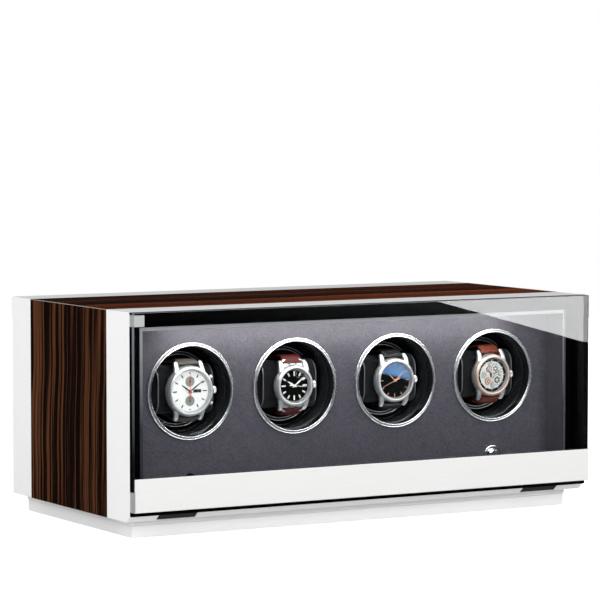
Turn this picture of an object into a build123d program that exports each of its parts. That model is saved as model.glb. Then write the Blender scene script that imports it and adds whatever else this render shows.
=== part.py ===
"""Watch winder cabinet for four watches.

A lacquered and veneered box on a plinth, with a glass door hinged at its left edge. Behind the door, a
fabric panel carries four winding modules. In each module a rotor cup turns on a shaft at the end of a belt
drive, and holds a cushion with a watch strapped round it.

Frame: millimetres, +X to the right, +Y to the rear, +Z up. The origin is at the middle of the overall
length and depth, on the surface that the feet stand on.
"""

import os

from build123d import *

os.makedirs("parts", exist_ok=True)

# ---------------------------------------------------------------- cabinet
cabinet_width = 458.0
cabinet_height = 176.3
cabinet_depth = 235.5
wall = 13.7
front_band = 45.8  # depth of the front section, white behind its black lip
rear_band = 39.6  # depth of the white rear section
foot_proud = 1.0
foot_radius = 9.0
foot_pocket = 1.5
foot_inset = 34.0
plinth_height = 10.6
plinth_cap_height = 4.6
plinth_side_inset = 10.1
plinth_front_inset = 19.5
plinth_rear_inset = 11.1
plinth_step = 1.0  # overhang of the cap over the plinth
plinth_groove = 0.8
bevel_height = 5.5  # finger bevel along the lower front edge
bevel_depth = 6.7
pad_width = 37.0  # rubber pads let into the finger bevel
pad_spacing = 366.0
pad_depth = 1.6

# ---------------------------------------------------------------- front
rail_thickness = 1.6
rail_height = 28.2
rail_edge = 0.5
glass_thickness = 4.0
door_gap = 0.7  # from the back of the glass to the lip of the fascia
door_height = 166.8
door_top_drop = 0.3  # the door's top edge below the cabinet's top
door_side_inset = 0.5
fascia_lip = 3.0
lip_edge = 0.5  # chamfer that lets the glass swing past the lip
fascia_rim = 6.5
fascia_wall = 1.5
fascia_recess = 11.7
fascia_plate = 2.0
liner_thickness = 3.0
display_depth = 26.6  # from the fascia's face to the fabric panel
panel_thickness = 6.0

# ---------------------------------------------------------------- hinges and catch
knuckle_radius = 1.5
hinge_pin_radius = 0.7
hinge_offset = 1.65  # of the hinge's axis behind the glass
running = 0.05  # radial clearance of a turning fit
seat = 0.3  # gap between pieces that move past each other
lower_hinge_height = 17.0
clamp_width = 9.5
clamp_height = 9.5
clamp_drop = 1.8  # of the clamp's top below the door's
clamp_plate = 1.2
magnet_width = 5.0
magnet_height = 16.0
strike_width = 4.0
strike_thickness = 1.0

# ---------------------------------------------------------------- winding modules
module_count = 4
module_margin = 75.5  # from the cabinet's side to the nearest rotor axis
axis_height = 104.2  # of the rotor axes, above the cabinet's underside
bezel_radius = 42.0
bezel_proud = 3.0
mouth_radius = bezel_radius - 3.5
spigot_wall = 1.5
housing_wall = 2.5
housing_flange = 4.0
housing_flange_depth = 3.0
housing_depth = 62.0  # inside, from the back of the panel to the back plate
back_plate = 4.0
back_plate_width = 80.0
rotor_set_back = 22.0  # of the rotor's rim, from the front of the panel
rotor_radius = mouth_radius - 0.9
rotor_wall = 2.6
rotor_floor = 3.0
rotor_length = 34.0
guide_width = 16.0  # guide rails that hold the cushion's ends
shaft_radius = 4.0
bearing_radius = 9.0
bearing_length = 10.0
boss_wall = 4.0
pulley_radius = 24.0
pulley_flange = 2.0
pulley_width = 10.0
belt_width = 5.0
belt_thickness = 1.2
belt_clearance = 0.15
motor_drop = 56.0  # of the motor's axis below the rotor's
motor_radius = 12.0
motor_length = 36.0
gearbox_radius = 13.5
gearbox_length = 8.0
motor_shaft_radius = 1.5
motor_pulley_radius = 5.0

# ---------------------------------------------------------------- cushion and watches
cushion_width = 2 * (rotor_radius - rotor_wall) - 14.0
cushion_height = 0.75 * cushion_width
cushion_depth = 40.0
cushion_set_back = 8.0  # of the cushion's face, from the front of the panel
cushion_corner = 12.0
cushion_edge = 3.0
strap_gap = 0.15
strap_thickness = 2.2
strap_width = 20.0
case_thickness = 11.0
crystal_thickness = 1.2
lug_width = 2.6
lug_length = 5.0
crown_radius = 3.2
crown_length = 3.6
pusher_radius = 1.9
pusher_angle = 28.0
case_radii = (22.0, 18.5, 19.8, 19.2)  # from the left-hand watch to the right-hand one
chronograph = (True, False, False, False)

# ---------------------------------------------------------------- controls, light and service parts
knob_height = 32.7  # above the cabinet's underside
knob_radius = 5.0
knob_ring_radius = 8.5
knob_ring_proud = 2.0
knob_proud = 5.0
knob_stem_radius = 3.0
grip_height = 2.6
button_height = 28.5
button_radius = 4.0
button_proud = 3.0
button_travel = 1.5
button_ring = 1.5
led_margin = 10.8
led_width = 7.4
led_set_back = 3.0
led_groove = 4.0
led_board = 1.5
led_count = 24
back_rebate = 5.0
back_rebate_depth = 10.0
back_panel_thickness = 4.0
back_screw_radius = 2.5
vent_count = 14
vent_pitch = 9.0
vent_width = 3.0
vent_height = 60.0
jack_x = 170.0
jack_height = 40.0
jack_radius = 6.0
jack_bore = 2.8
jack_bore_depth = 9.0
board_length = 120.0
board_depth = 60.0
board_gap = 10.9
board_standoff = 6.0
screw_radius = 1.5
screw_head = 3.0

# ---------------------------------------------------------------- places that follow
overall_depth = rail_thickness + glass_thickness + door_gap + cabinet_depth
y_rail = -overall_depth / 2
y_glass = y_rail + rail_thickness
y_glass_back = y_glass + glass_thickness
y_front = y_glass_back + door_gap
y_rear = y_front + cabinet_depth
y_face = y_front + fascia_recess
y_panel = y_face + display_depth
y_panel_back = y_panel + panel_thickness
y_veneer = y_front + front_band
y_rear_band = y_rear - rear_band

z_plinth = foot_proud
z_cap = z_plinth + plinth_height
z_base = z_cap + plinth_cap_height
z_top = z_base + cabinet_height
z_middle = (z_base + z_top) / 2
z_axis = z_base + axis_height
z_door = z_top - door_top_drop - door_height
z_door_top = z_door + door_height

inner_width = cabinet_width - 2 * wall
inner_height = cabinet_height - 2 * wall
led_length = inner_width - 2 * led_margin
x_side = -cabinet_width / 2
x_door = x_side + door_side_inset
x_hinge = x_side + knuckle_radius
y_hinge = y_glass_back + hinge_offset
module_pitch = (cabinet_width - 2 * module_margin) / (module_count - 1)
module_x = [(n - (module_count - 1) / 2) * module_pitch for n in range(module_count)]

y_housing_back = y_panel_back + housing_depth
y_rotor = y_panel + rotor_set_back
y_rotor_back = y_rotor + rotor_length
y_pulley = y_housing_back + back_plate + 7.6
y_belt = y_pulley + (pulley_width - belt_width) / 2
y_cushion = y_panel + cushion_set_back
board_y = y_rear - back_rebate_depth - board_gap - board_depth / 2


def across(y, x=0.0, z=0.0):
    """A plane across the cabinet at depth y, seen from the front: local X is +X and local Y is +Z."""
    return Plane(origin=(x, y, z), x_dir=(1, 0, 0), z_dir=(0, -1, 0))


def level(z, x=0.0, y=0.0):
    """A horizontal plane at height z, facing up."""
    return Plane(origin=(x, y, z))


def save(piece):
    """Writes one labelled piece as parts/LABEL.step."""
    export_step(piece.part, f"parts/{piece.part.label}.step")


def tube(y_from, y_to, outer, inner):
    """Adds a rectangular tube along Y, centred on the cabinet, to the part that is being built."""
    with BuildSketch(across(y_from, z=z_middle)) as ring:
        Rectangle(*outer)
        Rectangle(*inner, mode=Mode.SUBTRACT)
    extrude(ring.sketch, amount=y_from - y_to)


def block(corner, size, mode=Mode.ADD):
    """Adds or cuts a box given by its lowest corner and its size."""
    middle = [c + s / 2 for c, s in zip(corner, size)]
    with Locations(tuple(middle)):
        Box(*size, mode=mode)


def rod(x, z, y_from, y_to, radius, mode=Mode.ADD):
    """Adds or cuts a cylinder along Y."""
    with BuildSketch(across(y_from, x, z)) as disc:
        Circle(radius)
    extrude(disc.sketch, amount=y_from - y_to, mode=mode)


def post(x, y, z_from, z_to, radius, mode=Mode.ADD):
    """Adds or cuts a cylinder along Z."""
    with BuildSketch(level(z_from, x, y)) as disc:
        Circle(radius)
    extrude(disc.sketch, amount=z_to - z_from, mode=mode)


outside = (cabinet_width, cabinet_height)
inside = (inner_width, inner_height)

# ================================================================ cabinet
# The front section is white. Its front part is thinned to a rim, which the black fascia lines and caps.
rim_inside = (cabinet_width - 2 * fascia_rim, cabinet_height - 2 * fascia_rim)
bevel_middle = (
    0,
    y_front + fascia_lip + bevel_depth / 2,
    z_base + bevel_height / 2,
)
bevel_plane = Plane(origin=bevel_middle, x_dir=(1, 0, 0), z_dir=(0, -bevel_height, -bevel_depth))
bevel_face = (bevel_height**2 + bevel_depth**2) ** 0.5

with BuildPart() as front_frame:
    tube(y_front + fascia_lip, y_veneer, outside, inside)
    with BuildSketch(across(y_front + fascia_lip, z=z_middle)):
        Rectangle(*rim_inside)
    extrude(amount=fascia_lip - fascia_recess - fascia_plate, mode=Mode.SUBTRACT)
    with BuildSketch(Plane(origin=(x_side, y_front + fascia_lip, z_base), x_dir=(0, 1, 0), z_dir=(1, 0, 0))):
        Polygon((0, 0), (bevel_depth, 0), (0, bevel_height), align=None)
    extrude(amount=cabinet_width, mode=Mode.SUBTRACT)
    with BuildSketch(bevel_plane):
        with GridLocations(pad_spacing, 0, 2, 1):
            Rectangle(pad_width, 2 * bevel_face)
    extrude(amount=-pad_depth, mode=Mode.SUBTRACT)
    block(
        (-led_length / 2 - seat, y_face + led_set_back - seat, z_top - wall),
        (led_length + 2 * seat, led_width + 2 * seat, led_groove),
        Mode.SUBTRACT,
    )
front_frame.part.label = "front_frame"
save(front_frame)

with BuildPart() as bevel_pads:
    with BuildSketch(bevel_plane.offset(-pad_depth)):
        with GridLocations(pad_spacing, 0, 2, 1):
            Rectangle(pad_width - 2 * seat, bevel_face - 1.2)
    extrude(amount=pad_depth - seat)
bevel_pads.part.label = "bevel_pads"
save(bevel_pads)

with BuildPart() as veneered_body:
    tube(y_veneer, y_rear_band, outside, inside)
veneered_body.part.label = "veneered_body"
save(veneered_body)

with BuildPart() as rear_frame:
    tube(y_rear_band, y_rear, outside, inside)
    with BuildSketch(across(y_rear - back_rebate_depth, z=z_middle)):
        Rectangle(inner_width + 2 * back_rebate, inner_height + 2 * back_rebate)
    extrude(amount=-back_rebate_depth, mode=Mode.SUBTRACT)
    outer_edges = rear_frame.faces().sort_by(Axis.Y)[-1].edges()
    fillet(outer_edges.group_by(SortBy.LENGTH)[-1] + outer_edges.group_by(SortBy.LENGTH)[1], radius=1.2)
rear_frame.part.label = "rear_frame"
save(rear_frame)

# ================================================================ plinth and feet
plinth_width = cabinet_width - 2 * plinth_side_inset
plinth_depth = cabinet_depth - plinth_front_inset - plinth_rear_inset
y_plinth = y_front + plinth_front_inset
plinth_middle = (0, y_plinth + plinth_depth / 2)
foot_spacing = (plinth_width - 2 * foot_inset, plinth_depth - 2 * foot_inset)

with BuildPart() as plinth_cap:
    with BuildSketch(level(z_cap, *plinth_middle)):
        Rectangle(plinth_width + 2 * plinth_step, plinth_depth + 2 * plinth_step)
    extrude(amount=plinth_cap_height)
    fillet(plinth_cap.edges().filter_by(Axis.Z), radius=1.5)
    fillet(plinth_cap.faces().sort_by(Axis.Z)[-1].edges(), radius=1.2)
plinth_cap.part.label = "plinth_cap"
save(plinth_cap)

with BuildPart() as plinth:
    with BuildSketch(level(z_plinth, *plinth_middle)):
        Rectangle(plinth_width, plinth_depth)
    extrude(amount=plinth_height)
    chamfer(plinth.faces().sort_by(Axis.Z)[-1].edges(), length=plinth_groove)
    with BuildSketch(level(z_plinth, *plinth_middle)):
        with GridLocations(*foot_spacing, 2, 2):
            Circle(foot_radius + seat / 2)
    extrude(amount=foot_pocket, mode=Mode.SUBTRACT)
plinth.part.label = "plinth"
save(plinth)

with BuildPart() as feet:
    with BuildSketch(level(0, *plinth_middle)):
        with GridLocations(*foot_spacing, 2, 2):
            Circle(foot_radius)
    extrude(amount=foot_proud + foot_pocket)
    chamfer(feet.faces().group_by(Axis.Z)[0].edges(), length=0.5)
feet.part.label = "feet"
save(feet)

# ================================================================ fascia, liner and fabric panel
z_upper_hinge = z_door_top - clamp_drop - clamp_height
hinges = (("lower", z_door, lower_hinge_height), ("upper", z_upper_hinge, clamp_height))

with BuildPart() as fascia:
    tube(y_front, y_front + fascia_lip, outside, rim_inside)
    tube(y_front, y_face + fascia_plate, rim_inside, inside)
    with BuildSketch(across(y_front, z=z_middle)):
        Rectangle(rim_inside[0] - 2 * fascia_wall, rim_inside[1] - 2 * fascia_wall)
    extrude(amount=-fascia_recess, mode=Mode.SUBTRACT)
    lip_edges = fascia.faces().sort_by(Axis.Y)[0].edges().filter_by(Axis.Z).sort_by(Axis.X)
    chamfer([lip_edges[0], lip_edges[-1]], length=lip_edge)
    block((x_side, y_front, z_base), (cabinet_width, fascia_lip, bevel_height), Mode.SUBTRACT)
    for _, z_hinge, height in hinges:
        block((x_side, y_front, z_hinge - seat), (fascia_rim, fascia_lip, height + 2 * seat), Mode.SUBTRACT)
fascia.part.label = "fascia"
save(fascia)

liner_inside = (inner_width - 2 * liner_thickness, inner_height - 2 * liner_thickness)
with BuildPart() as display_liner:
    tube(y_face, y_panel, inside, liner_inside)
    block(
        (-led_length / 2 - seat, y_face + led_set_back - seat, z_top - wall - liner_thickness),
        (led_length + 2 * seat, led_width + 2 * seat, liner_thickness),
        Mode.SUBTRACT,
    )
display_liner.part.label = "display_liner"
save(display_liner)

knob_x = module_x[-1]
button_x = module_x[0]
z_knob = z_base + knob_height
z_button = z_base + button_height
bush_radius = knob_stem_radius + running + 1.5
screw_circle = mouth_radius + housing_wall + housing_flange / 2 + 1.8
screw_angles = (45, 135, 225, 315)

with BuildPart() as display_panel:
    with BuildSketch(across(y_panel, z=z_middle)):
        Rectangle(*inside)
    extrude(amount=-panel_thickness)
    for x in module_x:
        rod(x, z_axis, y_panel, y_panel_back, mouth_radius + spigot_wall + seat / 2, Mode.SUBTRACT)
    rod(knob_x, z_knob, y_panel, y_panel_back, bush_radius + seat / 2, Mode.SUBTRACT)
    rod(button_x, z_button, y_panel, y_panel_back, button_radius + button_ring, Mode.SUBTRACT)
display_panel.part.label = "display_panel"
save(display_panel)

# ================================================================ light
y_led = y_face + led_set_back
z_groove_top = z_top - wall + led_groove

with BuildPart() as led_strip:
    block((-led_length / 2, y_led, z_groove_top - led_board), (led_length, led_width, led_board))
    chip = (3.0, 3.0, 1.0)
    with Locations((0, y_led + led_width / 2, z_groove_top - led_board - chip[2] / 2)):
        with GridLocations((led_length - 20) / (led_count - 1), 0, led_count, 1):
            Box(*chip)
led_strip.part.label = "led_strip"
save(led_strip)

with BuildPart() as led_diffuser:
    block((-led_length / 2, y_led, z_top - wall - liner_thickness), (led_length, led_width, liner_thickness))
led_diffuser.part.label = "led_diffuser"
save(led_diffuser)

# ================================================================ rear panel and service parts
y_back_panel = y_rear - back_rebate_depth
back_size = (inner_width + 2 * back_rebate - 2 * seat, inner_height + 2 * back_rebate - 2 * seat)
back_screw_spacing = ((back_size[0] - 2 * back_rebate) / 2, back_size[1] - back_rebate)
z_jack = z_base + jack_height

with BuildPart() as back_panel:
    with BuildSketch(across(y_back_panel, z=z_middle)):
        Rectangle(*back_size)
        with GridLocations(vent_pitch, 0, vent_count, 1):
            SlotOverall(vent_height, vent_width, rotation=90, mode=Mode.SUBTRACT)
        with GridLocations(*back_screw_spacing, 3, 2):
            Circle(screw_radius + seat / 2, mode=Mode.SUBTRACT)
    extrude(amount=-back_panel_thickness)
    jack_hole = jack_radius + seat / 2
    rod(jack_x, z_jack, y_back_panel, y_back_panel + back_panel_thickness, jack_hole, Mode.SUBTRACT)
back_panel.part.label = "back_panel"
save(back_panel)

with BuildPart() as back_screws:
    y_screw_head = y_back_panel + back_panel_thickness
    for column in (-1, 0, 1):
        for row in (-0.5, 0.5):
            x_screw = column * back_screw_spacing[0]
            z_screw = z_middle + row * back_screw_spacing[1]
            rod(x_screw, z_screw, y_back_panel, y_screw_head, screw_radius)
            rod(x_screw, z_screw, y_screw_head, y_screw_head + 1.4, back_screw_radius)
back_screws.part.label = "back_screws"
save(back_screws)

with BuildPart() as power_jack:
    rod(jack_x, z_jack, y_back_panel - 8, y_back_panel + back_panel_thickness, jack_radius)
    rod(
        jack_x,
        z_jack,
        y_back_panel + back_panel_thickness,
        y_back_panel + back_panel_thickness + 1.5,
        jack_radius + 2,
    )
    jack_face = y_back_panel + back_panel_thickness + 1.5
    rod(jack_x, z_jack, jack_face - jack_bore_depth, jack_face, jack_bore, Mode.SUBTRACT)
power_jack.part.label = "power_jack"
save(power_jack)

z_floor = z_base + wall
with BuildPart() as control_board:
    with Locations((0, board_y, z_floor + board_standoff + 0.8)):
        Box(board_length, board_depth, 1.6)
    with BuildSketch(level(z_floor, 0, board_y)):
        with GridLocations(board_length - 12, board_depth - 12, 2, 2):
            Circle(3)
    extrude(amount=board_standoff)
    for x, y, size in (
        (-30, 8, (16, 16, 2)),
        (10, 10, (10, 6, 1.6)),
        (40, -12, (18, 10, 9)),
        (-8, -14, (8, 8, 12)),
        (-44, -14, (12, 6, 8)),
    ):
        with Locations((x, board_y + y, z_floor + board_standoff + 1.6 + size[2] / 2)):
            Box(*size)
control_board.part.label = "control_board"
save(control_board)

# ================================================================ hinges
for place, z_hinge, height in hinges:
    # The cabinet's half of a hinge: a plate let into the fascia's lip, and a knuckle with a fixed pin.
    x_plate = x_hinge + knuckle_radius + seat
    with BuildPart() as hinge_bracket:
        block((x_plate, y_front, z_hinge), (x_side + fascia_rim - x_plate, fascia_lip, height))
        block((x_hinge, y_hinge - 0.8, z_hinge), (x_plate - x_hinge, 1.6, height / 2 - seat))
        post(x_hinge, y_hinge, z_hinge, z_hinge + height / 2 - seat, knuckle_radius)
        post(x_hinge, y_hinge, z_hinge, z_hinge + height - 1, hinge_pin_radius)
    hinge_bracket.part.label = f"hinge_bracket_{place}"
    save(hinge_bracket)

# ================================================================ door
door_width = cabinet_width - door_side_inset

with BuildPart() as door_glass:
    block((x_door, y_glass, z_door + 0.5), (door_width, glass_thickness, door_height - 0.5))
    fillet(door_glass.edges().filter_by(Axis.Y), radius=1.0)
    chamfer(door_glass.faces().filter_by(Axis.Y).edges(), length=0.4)
door_glass.part.label = "door_glass"
save(door_glass)

with BuildPart() as door_rail:
    block((x_door, y_rail, z_door), (door_width, rail_thickness, rail_height))
    chamfer(door_rail.faces().sort_by(Axis.Y)[0].edges().filter_by(Axis.X), length=rail_edge)
door_rail.part.label = "door_rail"
save(door_rail)


def door_leaf(z_from, height, y_edge):
    """Adds the door's half of a hinge: a plate over the glass's edge, and a knuckle bored for the pin."""
    block((x_side, y_edge, z_from), (door_side_inset, y_glass_back - y_edge, height))
    z_knuckle = z_from + height / 2
    block((x_side, y_glass_back, z_knuckle), (knuckle_radius, hinge_offset, height / 2))
    post(x_hinge, y_hinge, z_knuckle, z_from + height, knuckle_radius)
    post(x_hinge, y_hinge, z_knuckle, z_from + height, hinge_pin_radius + running, Mode.SUBTRACT)


with BuildPart() as door_hinge_block:
    door_leaf(z_door, lower_hinge_height, y_rail)
door_hinge_block.part.label = "door_hinge_block"
save(door_hinge_block)

with BuildPart() as door_clamp:
    block((x_side, y_glass - clamp_plate, z_upper_hinge), (clamp_width, clamp_plate, clamp_height))
    door_leaf(z_upper_hinge, clamp_height, y_glass - clamp_plate)
door_clamp.part.label = "door_clamp"
save(door_clamp)

x_magnet = cabinet_width / 2 - fascia_rim - fascia_wall - magnet_width
z_magnet = z_base + 14.0
with BuildPart() as catch_magnet:
    y_magnet = y_glass_back + strike_thickness + seat
    block((x_magnet, y_magnet, z_magnet), (magnet_width, y_face - y_magnet, magnet_height))
catch_magnet.part.label = "catch_magnet"
save(catch_magnet)

with BuildPart() as door_strike:
    block(
        (x_magnet + magnet_width / 2 - strike_width / 2, y_glass_back, z_magnet),
        (strike_width, strike_thickness, magnet_height),
    )
door_strike.part.label = "door_strike"
save(door_strike)

# ================================================================ controls
switch_body = 15.0
switch_depth = 12.0
with BuildPart() as selector_switch:
    rod(knob_x, z_knob, y_panel - knob_ring_proud, y_panel, knob_ring_radius)
    fillet(selector_switch.faces().sort_by(Axis.Y)[0].edges(), radius=0.9)
    rod(knob_x, z_knob, y_panel, y_panel_back, bush_radius)
    block(
        (knob_x - switch_body / 2, y_panel_back, z_knob - switch_body / 2),
        (switch_body, switch_depth, switch_body),
    )
    rod(knob_x, z_knob, y_panel - knob_ring_proud, y_panel - 0.5, knob_radius + 0.5, Mode.SUBTRACT)
    rod(knob_x, z_knob, y_panel - 0.5, y_panel_back + 4, knob_stem_radius + running, Mode.SUBTRACT)
selector_switch.part.label = "selector_switch"
save(selector_switch)

with BuildPart() as selector_knob:
    rod(knob_x, z_knob, y_panel - knob_proud, y_panel - 0.5 - seat, knob_radius)
    fillet(selector_knob.faces().sort_by(Axis.Y)[0].edges(), radius=1.5)
    block(
        (knob_x - 1.1, y_panel - knob_proud - grip_height, z_knob - knob_radius + 0.8),
        (2.2, grip_height + 1.0, 2 * knob_radius - 1.6),
    )
    rod(knob_x, z_knob, y_panel - 0.5 - seat, y_panel_back + 4 - seat, knob_stem_radius)
selector_knob.part.label = "selector_knob"
save(selector_knob)

with BuildPart() as button_sleeve:
    rod(button_x, z_button, y_panel - 0.6, y_panel_back + 6, button_radius + button_ring - seat / 2)
    rod(button_x, z_button, y_panel - 0.6, y_panel_back + 4, button_radius + running, Mode.SUBTRACT)
button_sleeve.part.label = "button_sleeve"
save(button_sleeve)

with BuildPart() as light_button:
    rod(button_x, z_button, y_panel - button_proud, y_panel_back + 4 - button_travel - seat, button_radius)
    fillet(light_button.faces().sort_by(Axis.Y)[0].edges(), radius=2.4)
light_button.part.label = "light_button"
save(light_button)

# ================================================================ winding modules
bearing_back = y_housing_back + back_plate + 1.0
bearing_front = bearing_back - bearing_length
boss_radius = bearing_radius + running + boss_wall
spigot_radius = mouth_radius + spigot_wall


def belt_outline(grow):
    """Returns the outline of both pulleys and the straight runs between them, grown by that much."""
    with BuildSketch(mode=Mode.PRIVATE) as pulleys:
        Circle(pulley_radius + grow)
        with Locations((0, -motor_drop)):
            Circle(motor_pulley_radius + grow)
    return make_hull(pulleys.edges(), mode=Mode.PRIVATE)


with BuildPart() as rotor_bearings:
    for x in module_x:
        rod(x, z_axis, bearing_front, bearing_back, bearing_radius)
        rod(x, z_axis, bearing_front, bearing_back, shaft_radius + running, Mode.SUBTRACT)
rotor_bearings.part.label = "rotor_bearings"
save(rotor_bearings)

with BuildPart() as gear_motors:
    for x in module_x:
        z_motor = z_axis - motor_drop
        y_gearbox = y_housing_back - gearbox_length
        rod(x, z_motor, y_gearbox - motor_length, y_gearbox, motor_radius)
        rod(x, z_motor, y_gearbox, y_housing_back, gearbox_radius)
        rod(x, z_motor, y_housing_back - 6, y_housing_back, motor_shaft_radius + running, Mode.SUBTRACT)
gear_motors.part.label = "gear_motors"
save(gear_motors)

with BuildPart() as drive_belts:
    for x in module_x:
        with BuildSketch(across(y_belt, x, z_axis)):
            add(belt_outline(belt_clearance + belt_thickness))
            add(belt_outline(belt_clearance), mode=Mode.SUBTRACT)
        extrude(amount=-belt_width)
drive_belts.part.label = "drive_belts"
save(drive_belts)

with BuildPart() as module_screws:
    for x in module_x:
        with BuildSketch(across(y_panel_back + housing_flange_depth, x, z_axis)):
            with PolarLocations(screw_circle, len(screw_angles), start_angle=screw_angles[0]):
                Circle(screw_head)
        extrude(amount=-2.0)
module_screws.part.label = "module_screws"
save(module_screws)

for number, x in enumerate(module_x, start=1):
    with BuildPart() as bezel_ring:
        rod(x, z_axis, y_panel - bezel_proud, y_panel, bezel_radius)
        rod(x, z_axis, y_panel, y_panel_back, spigot_radius)
        rod(x, z_axis, y_panel - bezel_proud, y_panel_back, mouth_radius, Mode.SUBTRACT)
        front_rims = bezel_ring.faces().sort_by(Axis.Y)[0].edges()
        fillet(front_rims, radius=1.2)
    bezel_ring.part.label = f"bezel_ring_{number}"
    save(bezel_ring)

    with BuildPart() as module_housing:
        housing_radius = mouth_radius + housing_wall
        flange_radius = housing_radius + housing_flange + screw_head
        rod(x, z_axis, y_panel_back, y_panel_back + housing_flange_depth, flange_radius)
        rod(x, z_axis, y_panel_back, y_housing_back, housing_radius)
        rod(x, z_axis, y_panel_back, y_housing_back, mouth_radius, Mode.SUBTRACT)
        z_plate = -motor_drop - gearbox_radius - 2
        block(
            (x - back_plate_width / 2, y_housing_back, z_axis + z_plate),
            (back_plate_width, back_plate, housing_radius - z_plate),
        )
        rod(x, z_axis, bearing_front, bearing_back, boss_radius)
        rod(x, z_axis, bearing_front, bearing_back, bearing_radius + running, Mode.SUBTRACT)
        rod(
            x,
            z_axis - motor_drop,
            y_housing_back,
            y_housing_back + back_plate,
            motor_shaft_radius + 1.0,
            Mode.SUBTRACT,
        )
    module_housing.part.label = f"module_housing_{number}"
    save(module_housing)

    with BuildPart() as rotor_cup:
        cup_radius = rotor_radius - rotor_wall
        rod(x, z_axis, y_rotor, y_rotor_back, rotor_radius)
        rod(x, z_axis, y_rotor, y_rotor_back - rotor_floor, cup_radius, Mode.SUBTRACT)
        chamfer(rotor_cup.faces().sort_by(Axis.Y)[0].edges(), length=0.8)
        # Two rails stand in from the wall of the cup and guide the ends of the cushion.
        with BuildSketch(across(y_rotor + 2, x, z_axis)):
            Circle(cup_radius + 0.5)
            Rectangle(cushion_width + 2 * seat, 4 * cup_radius, mode=Mode.SUBTRACT)
            Rectangle(4 * cup_radius, guide_width, mode=Mode.INTERSECT)
        extrude(amount=-(rotor_length - rotor_floor - 2))
        rod(x, z_axis, y_rotor_back, bearing_front - seat, shaft_radius + 3)
        rod(x, z_axis, y_rotor_back, y_pulley + pulley_width + 2, shaft_radius)
    rotor_cup.part.label = f"rotor_cup_{number}"
    save(rotor_cup)

    with BuildPart() as rotor_pulley:
        rod(x, z_axis, y_pulley, y_pulley + pulley_width, pulley_radius + pulley_flange)
        with BuildSketch(across(y_belt - seat, x, z_axis)):
            Circle(pulley_radius + pulley_flange + 1)
            Circle(pulley_radius, mode=Mode.SUBTRACT)
        extrude(amount=-(belt_width + 2 * seat), mode=Mode.SUBTRACT)
        rod(x, z_axis, y_pulley, y_pulley + pulley_width, shaft_radius, Mode.SUBTRACT)
        with BuildSketch(across(y_pulley, x, z_axis)):
            with PolarLocations(pulley_radius * 0.56, 6):
                Circle(4.5)
        extrude(amount=-pulley_width, mode=Mode.SUBTRACT)
    rotor_pulley.part.label = f"rotor_pulley_{number}"
    save(rotor_pulley)

    with BuildPart() as motor_pulley:
        z_motor = z_axis - motor_drop
        rod(x, z_motor, y_pulley, y_pulley + pulley_width, motor_pulley_radius + 1.6)
        with BuildSketch(across(y_belt - seat, x, z_motor)):
            Circle(motor_pulley_radius + 4)
            Circle(motor_pulley_radius, mode=Mode.SUBTRACT)
        extrude(amount=-(belt_width + 2 * seat), mode=Mode.SUBTRACT)
        rod(x, z_motor, y_housing_back - 6 + seat, y_pulley, motor_shaft_radius)
    motor_pulley.part.label = f"motor_pulley_{number}"
    save(motor_pulley)

    with BuildPart() as cushion:
        block(
            (x - cushion_width / 2, y_cushion, z_axis - cushion_height / 2),
            (cushion_width, cushion_depth, cushion_height),
        )
        fillet(cushion.edges().filter_by(Axis.X), radius=cushion_corner)
        fillet(cushion.faces().filter_by(Axis.X).edges(), radius=cushion_edge)
    cushion.part.label = f"cushion_{number}"
    save(cushion)

# ================================================================ watches
# Each watch is a case with lugs and a crown, a crystal, and a strap closed round the cushion.
y_case_back = y_cushion - 0.2
y_case_front = y_case_back - case_thickness


def strap_section(gap, x):
    """Returns a plane face of the strap's run round the cushion, offset from the cushion by that gap."""
    side = Plane(origin=(x, y_cushion + cushion_depth / 2, z_axis), x_dir=(0, 1, 0), z_dir=(1, 0, 0))
    with BuildSketch(side) as outline:
        RectangleRounded(
            cushion_depth + 2 * gap,
            cushion_height + 2 * gap,
            cushion_corner + gap,
        )
    return outline


for number, x in enumerate(module_x, start=1):
    case_radius = case_radii[number - 1]
    crown_plane = Plane(
        origin=(x, y_case_back - case_thickness / 2, z_axis),
        x_dir=(0, 1, 0),
        z_dir=(1, 0, 0),
    )
    with BuildPart() as watch:
        extrude(strap_section(strap_gap + strap_thickness, x).sketch, amount=strap_width / 2, both=True)
        inner_run = strap_section(strap_gap, x).sketch
        extrude(inner_run, amount=strap_width / 2, both=True, mode=Mode.SUBTRACT)
        rod(x, z_axis, y_case_front, y_case_back, case_radius)
        lug_reach = case_radius + lug_length
        for side in (-1, 1):
            x_lug = x + side * (strap_width / 2 + lug_width / 2)
            block(
                (x_lug - lug_width / 2, y_case_back - 7, z_axis - lug_reach),
                (lug_width, 6.5, 2 * lug_reach),
            )
        with BuildSketch(crown_plane):
            Circle(crown_radius)
        extrude(amount=case_radius + crown_length)
        if chronograph[number - 1]:
            for angle in (-pusher_angle, pusher_angle):
                with BuildSketch(crown_plane.rotated((angle, 0, 0))):
                    Circle(pusher_radius)
                extrude(amount=case_radius + crown_length - 0.6)
        rod(x, z_axis, y_case_front - crystal_thickness, y_case_front, case_radius - 2.2)
    watch.part.label = f"watch_{number}"
    save(watch)
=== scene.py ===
"""Finishes, fine shapes, light and camera for a watch winder cabinet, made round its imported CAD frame."""

import logging
import math
from dataclasses import dataclass, field
from enum import Enum
from typing import Callable, Optional, Sequence

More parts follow.
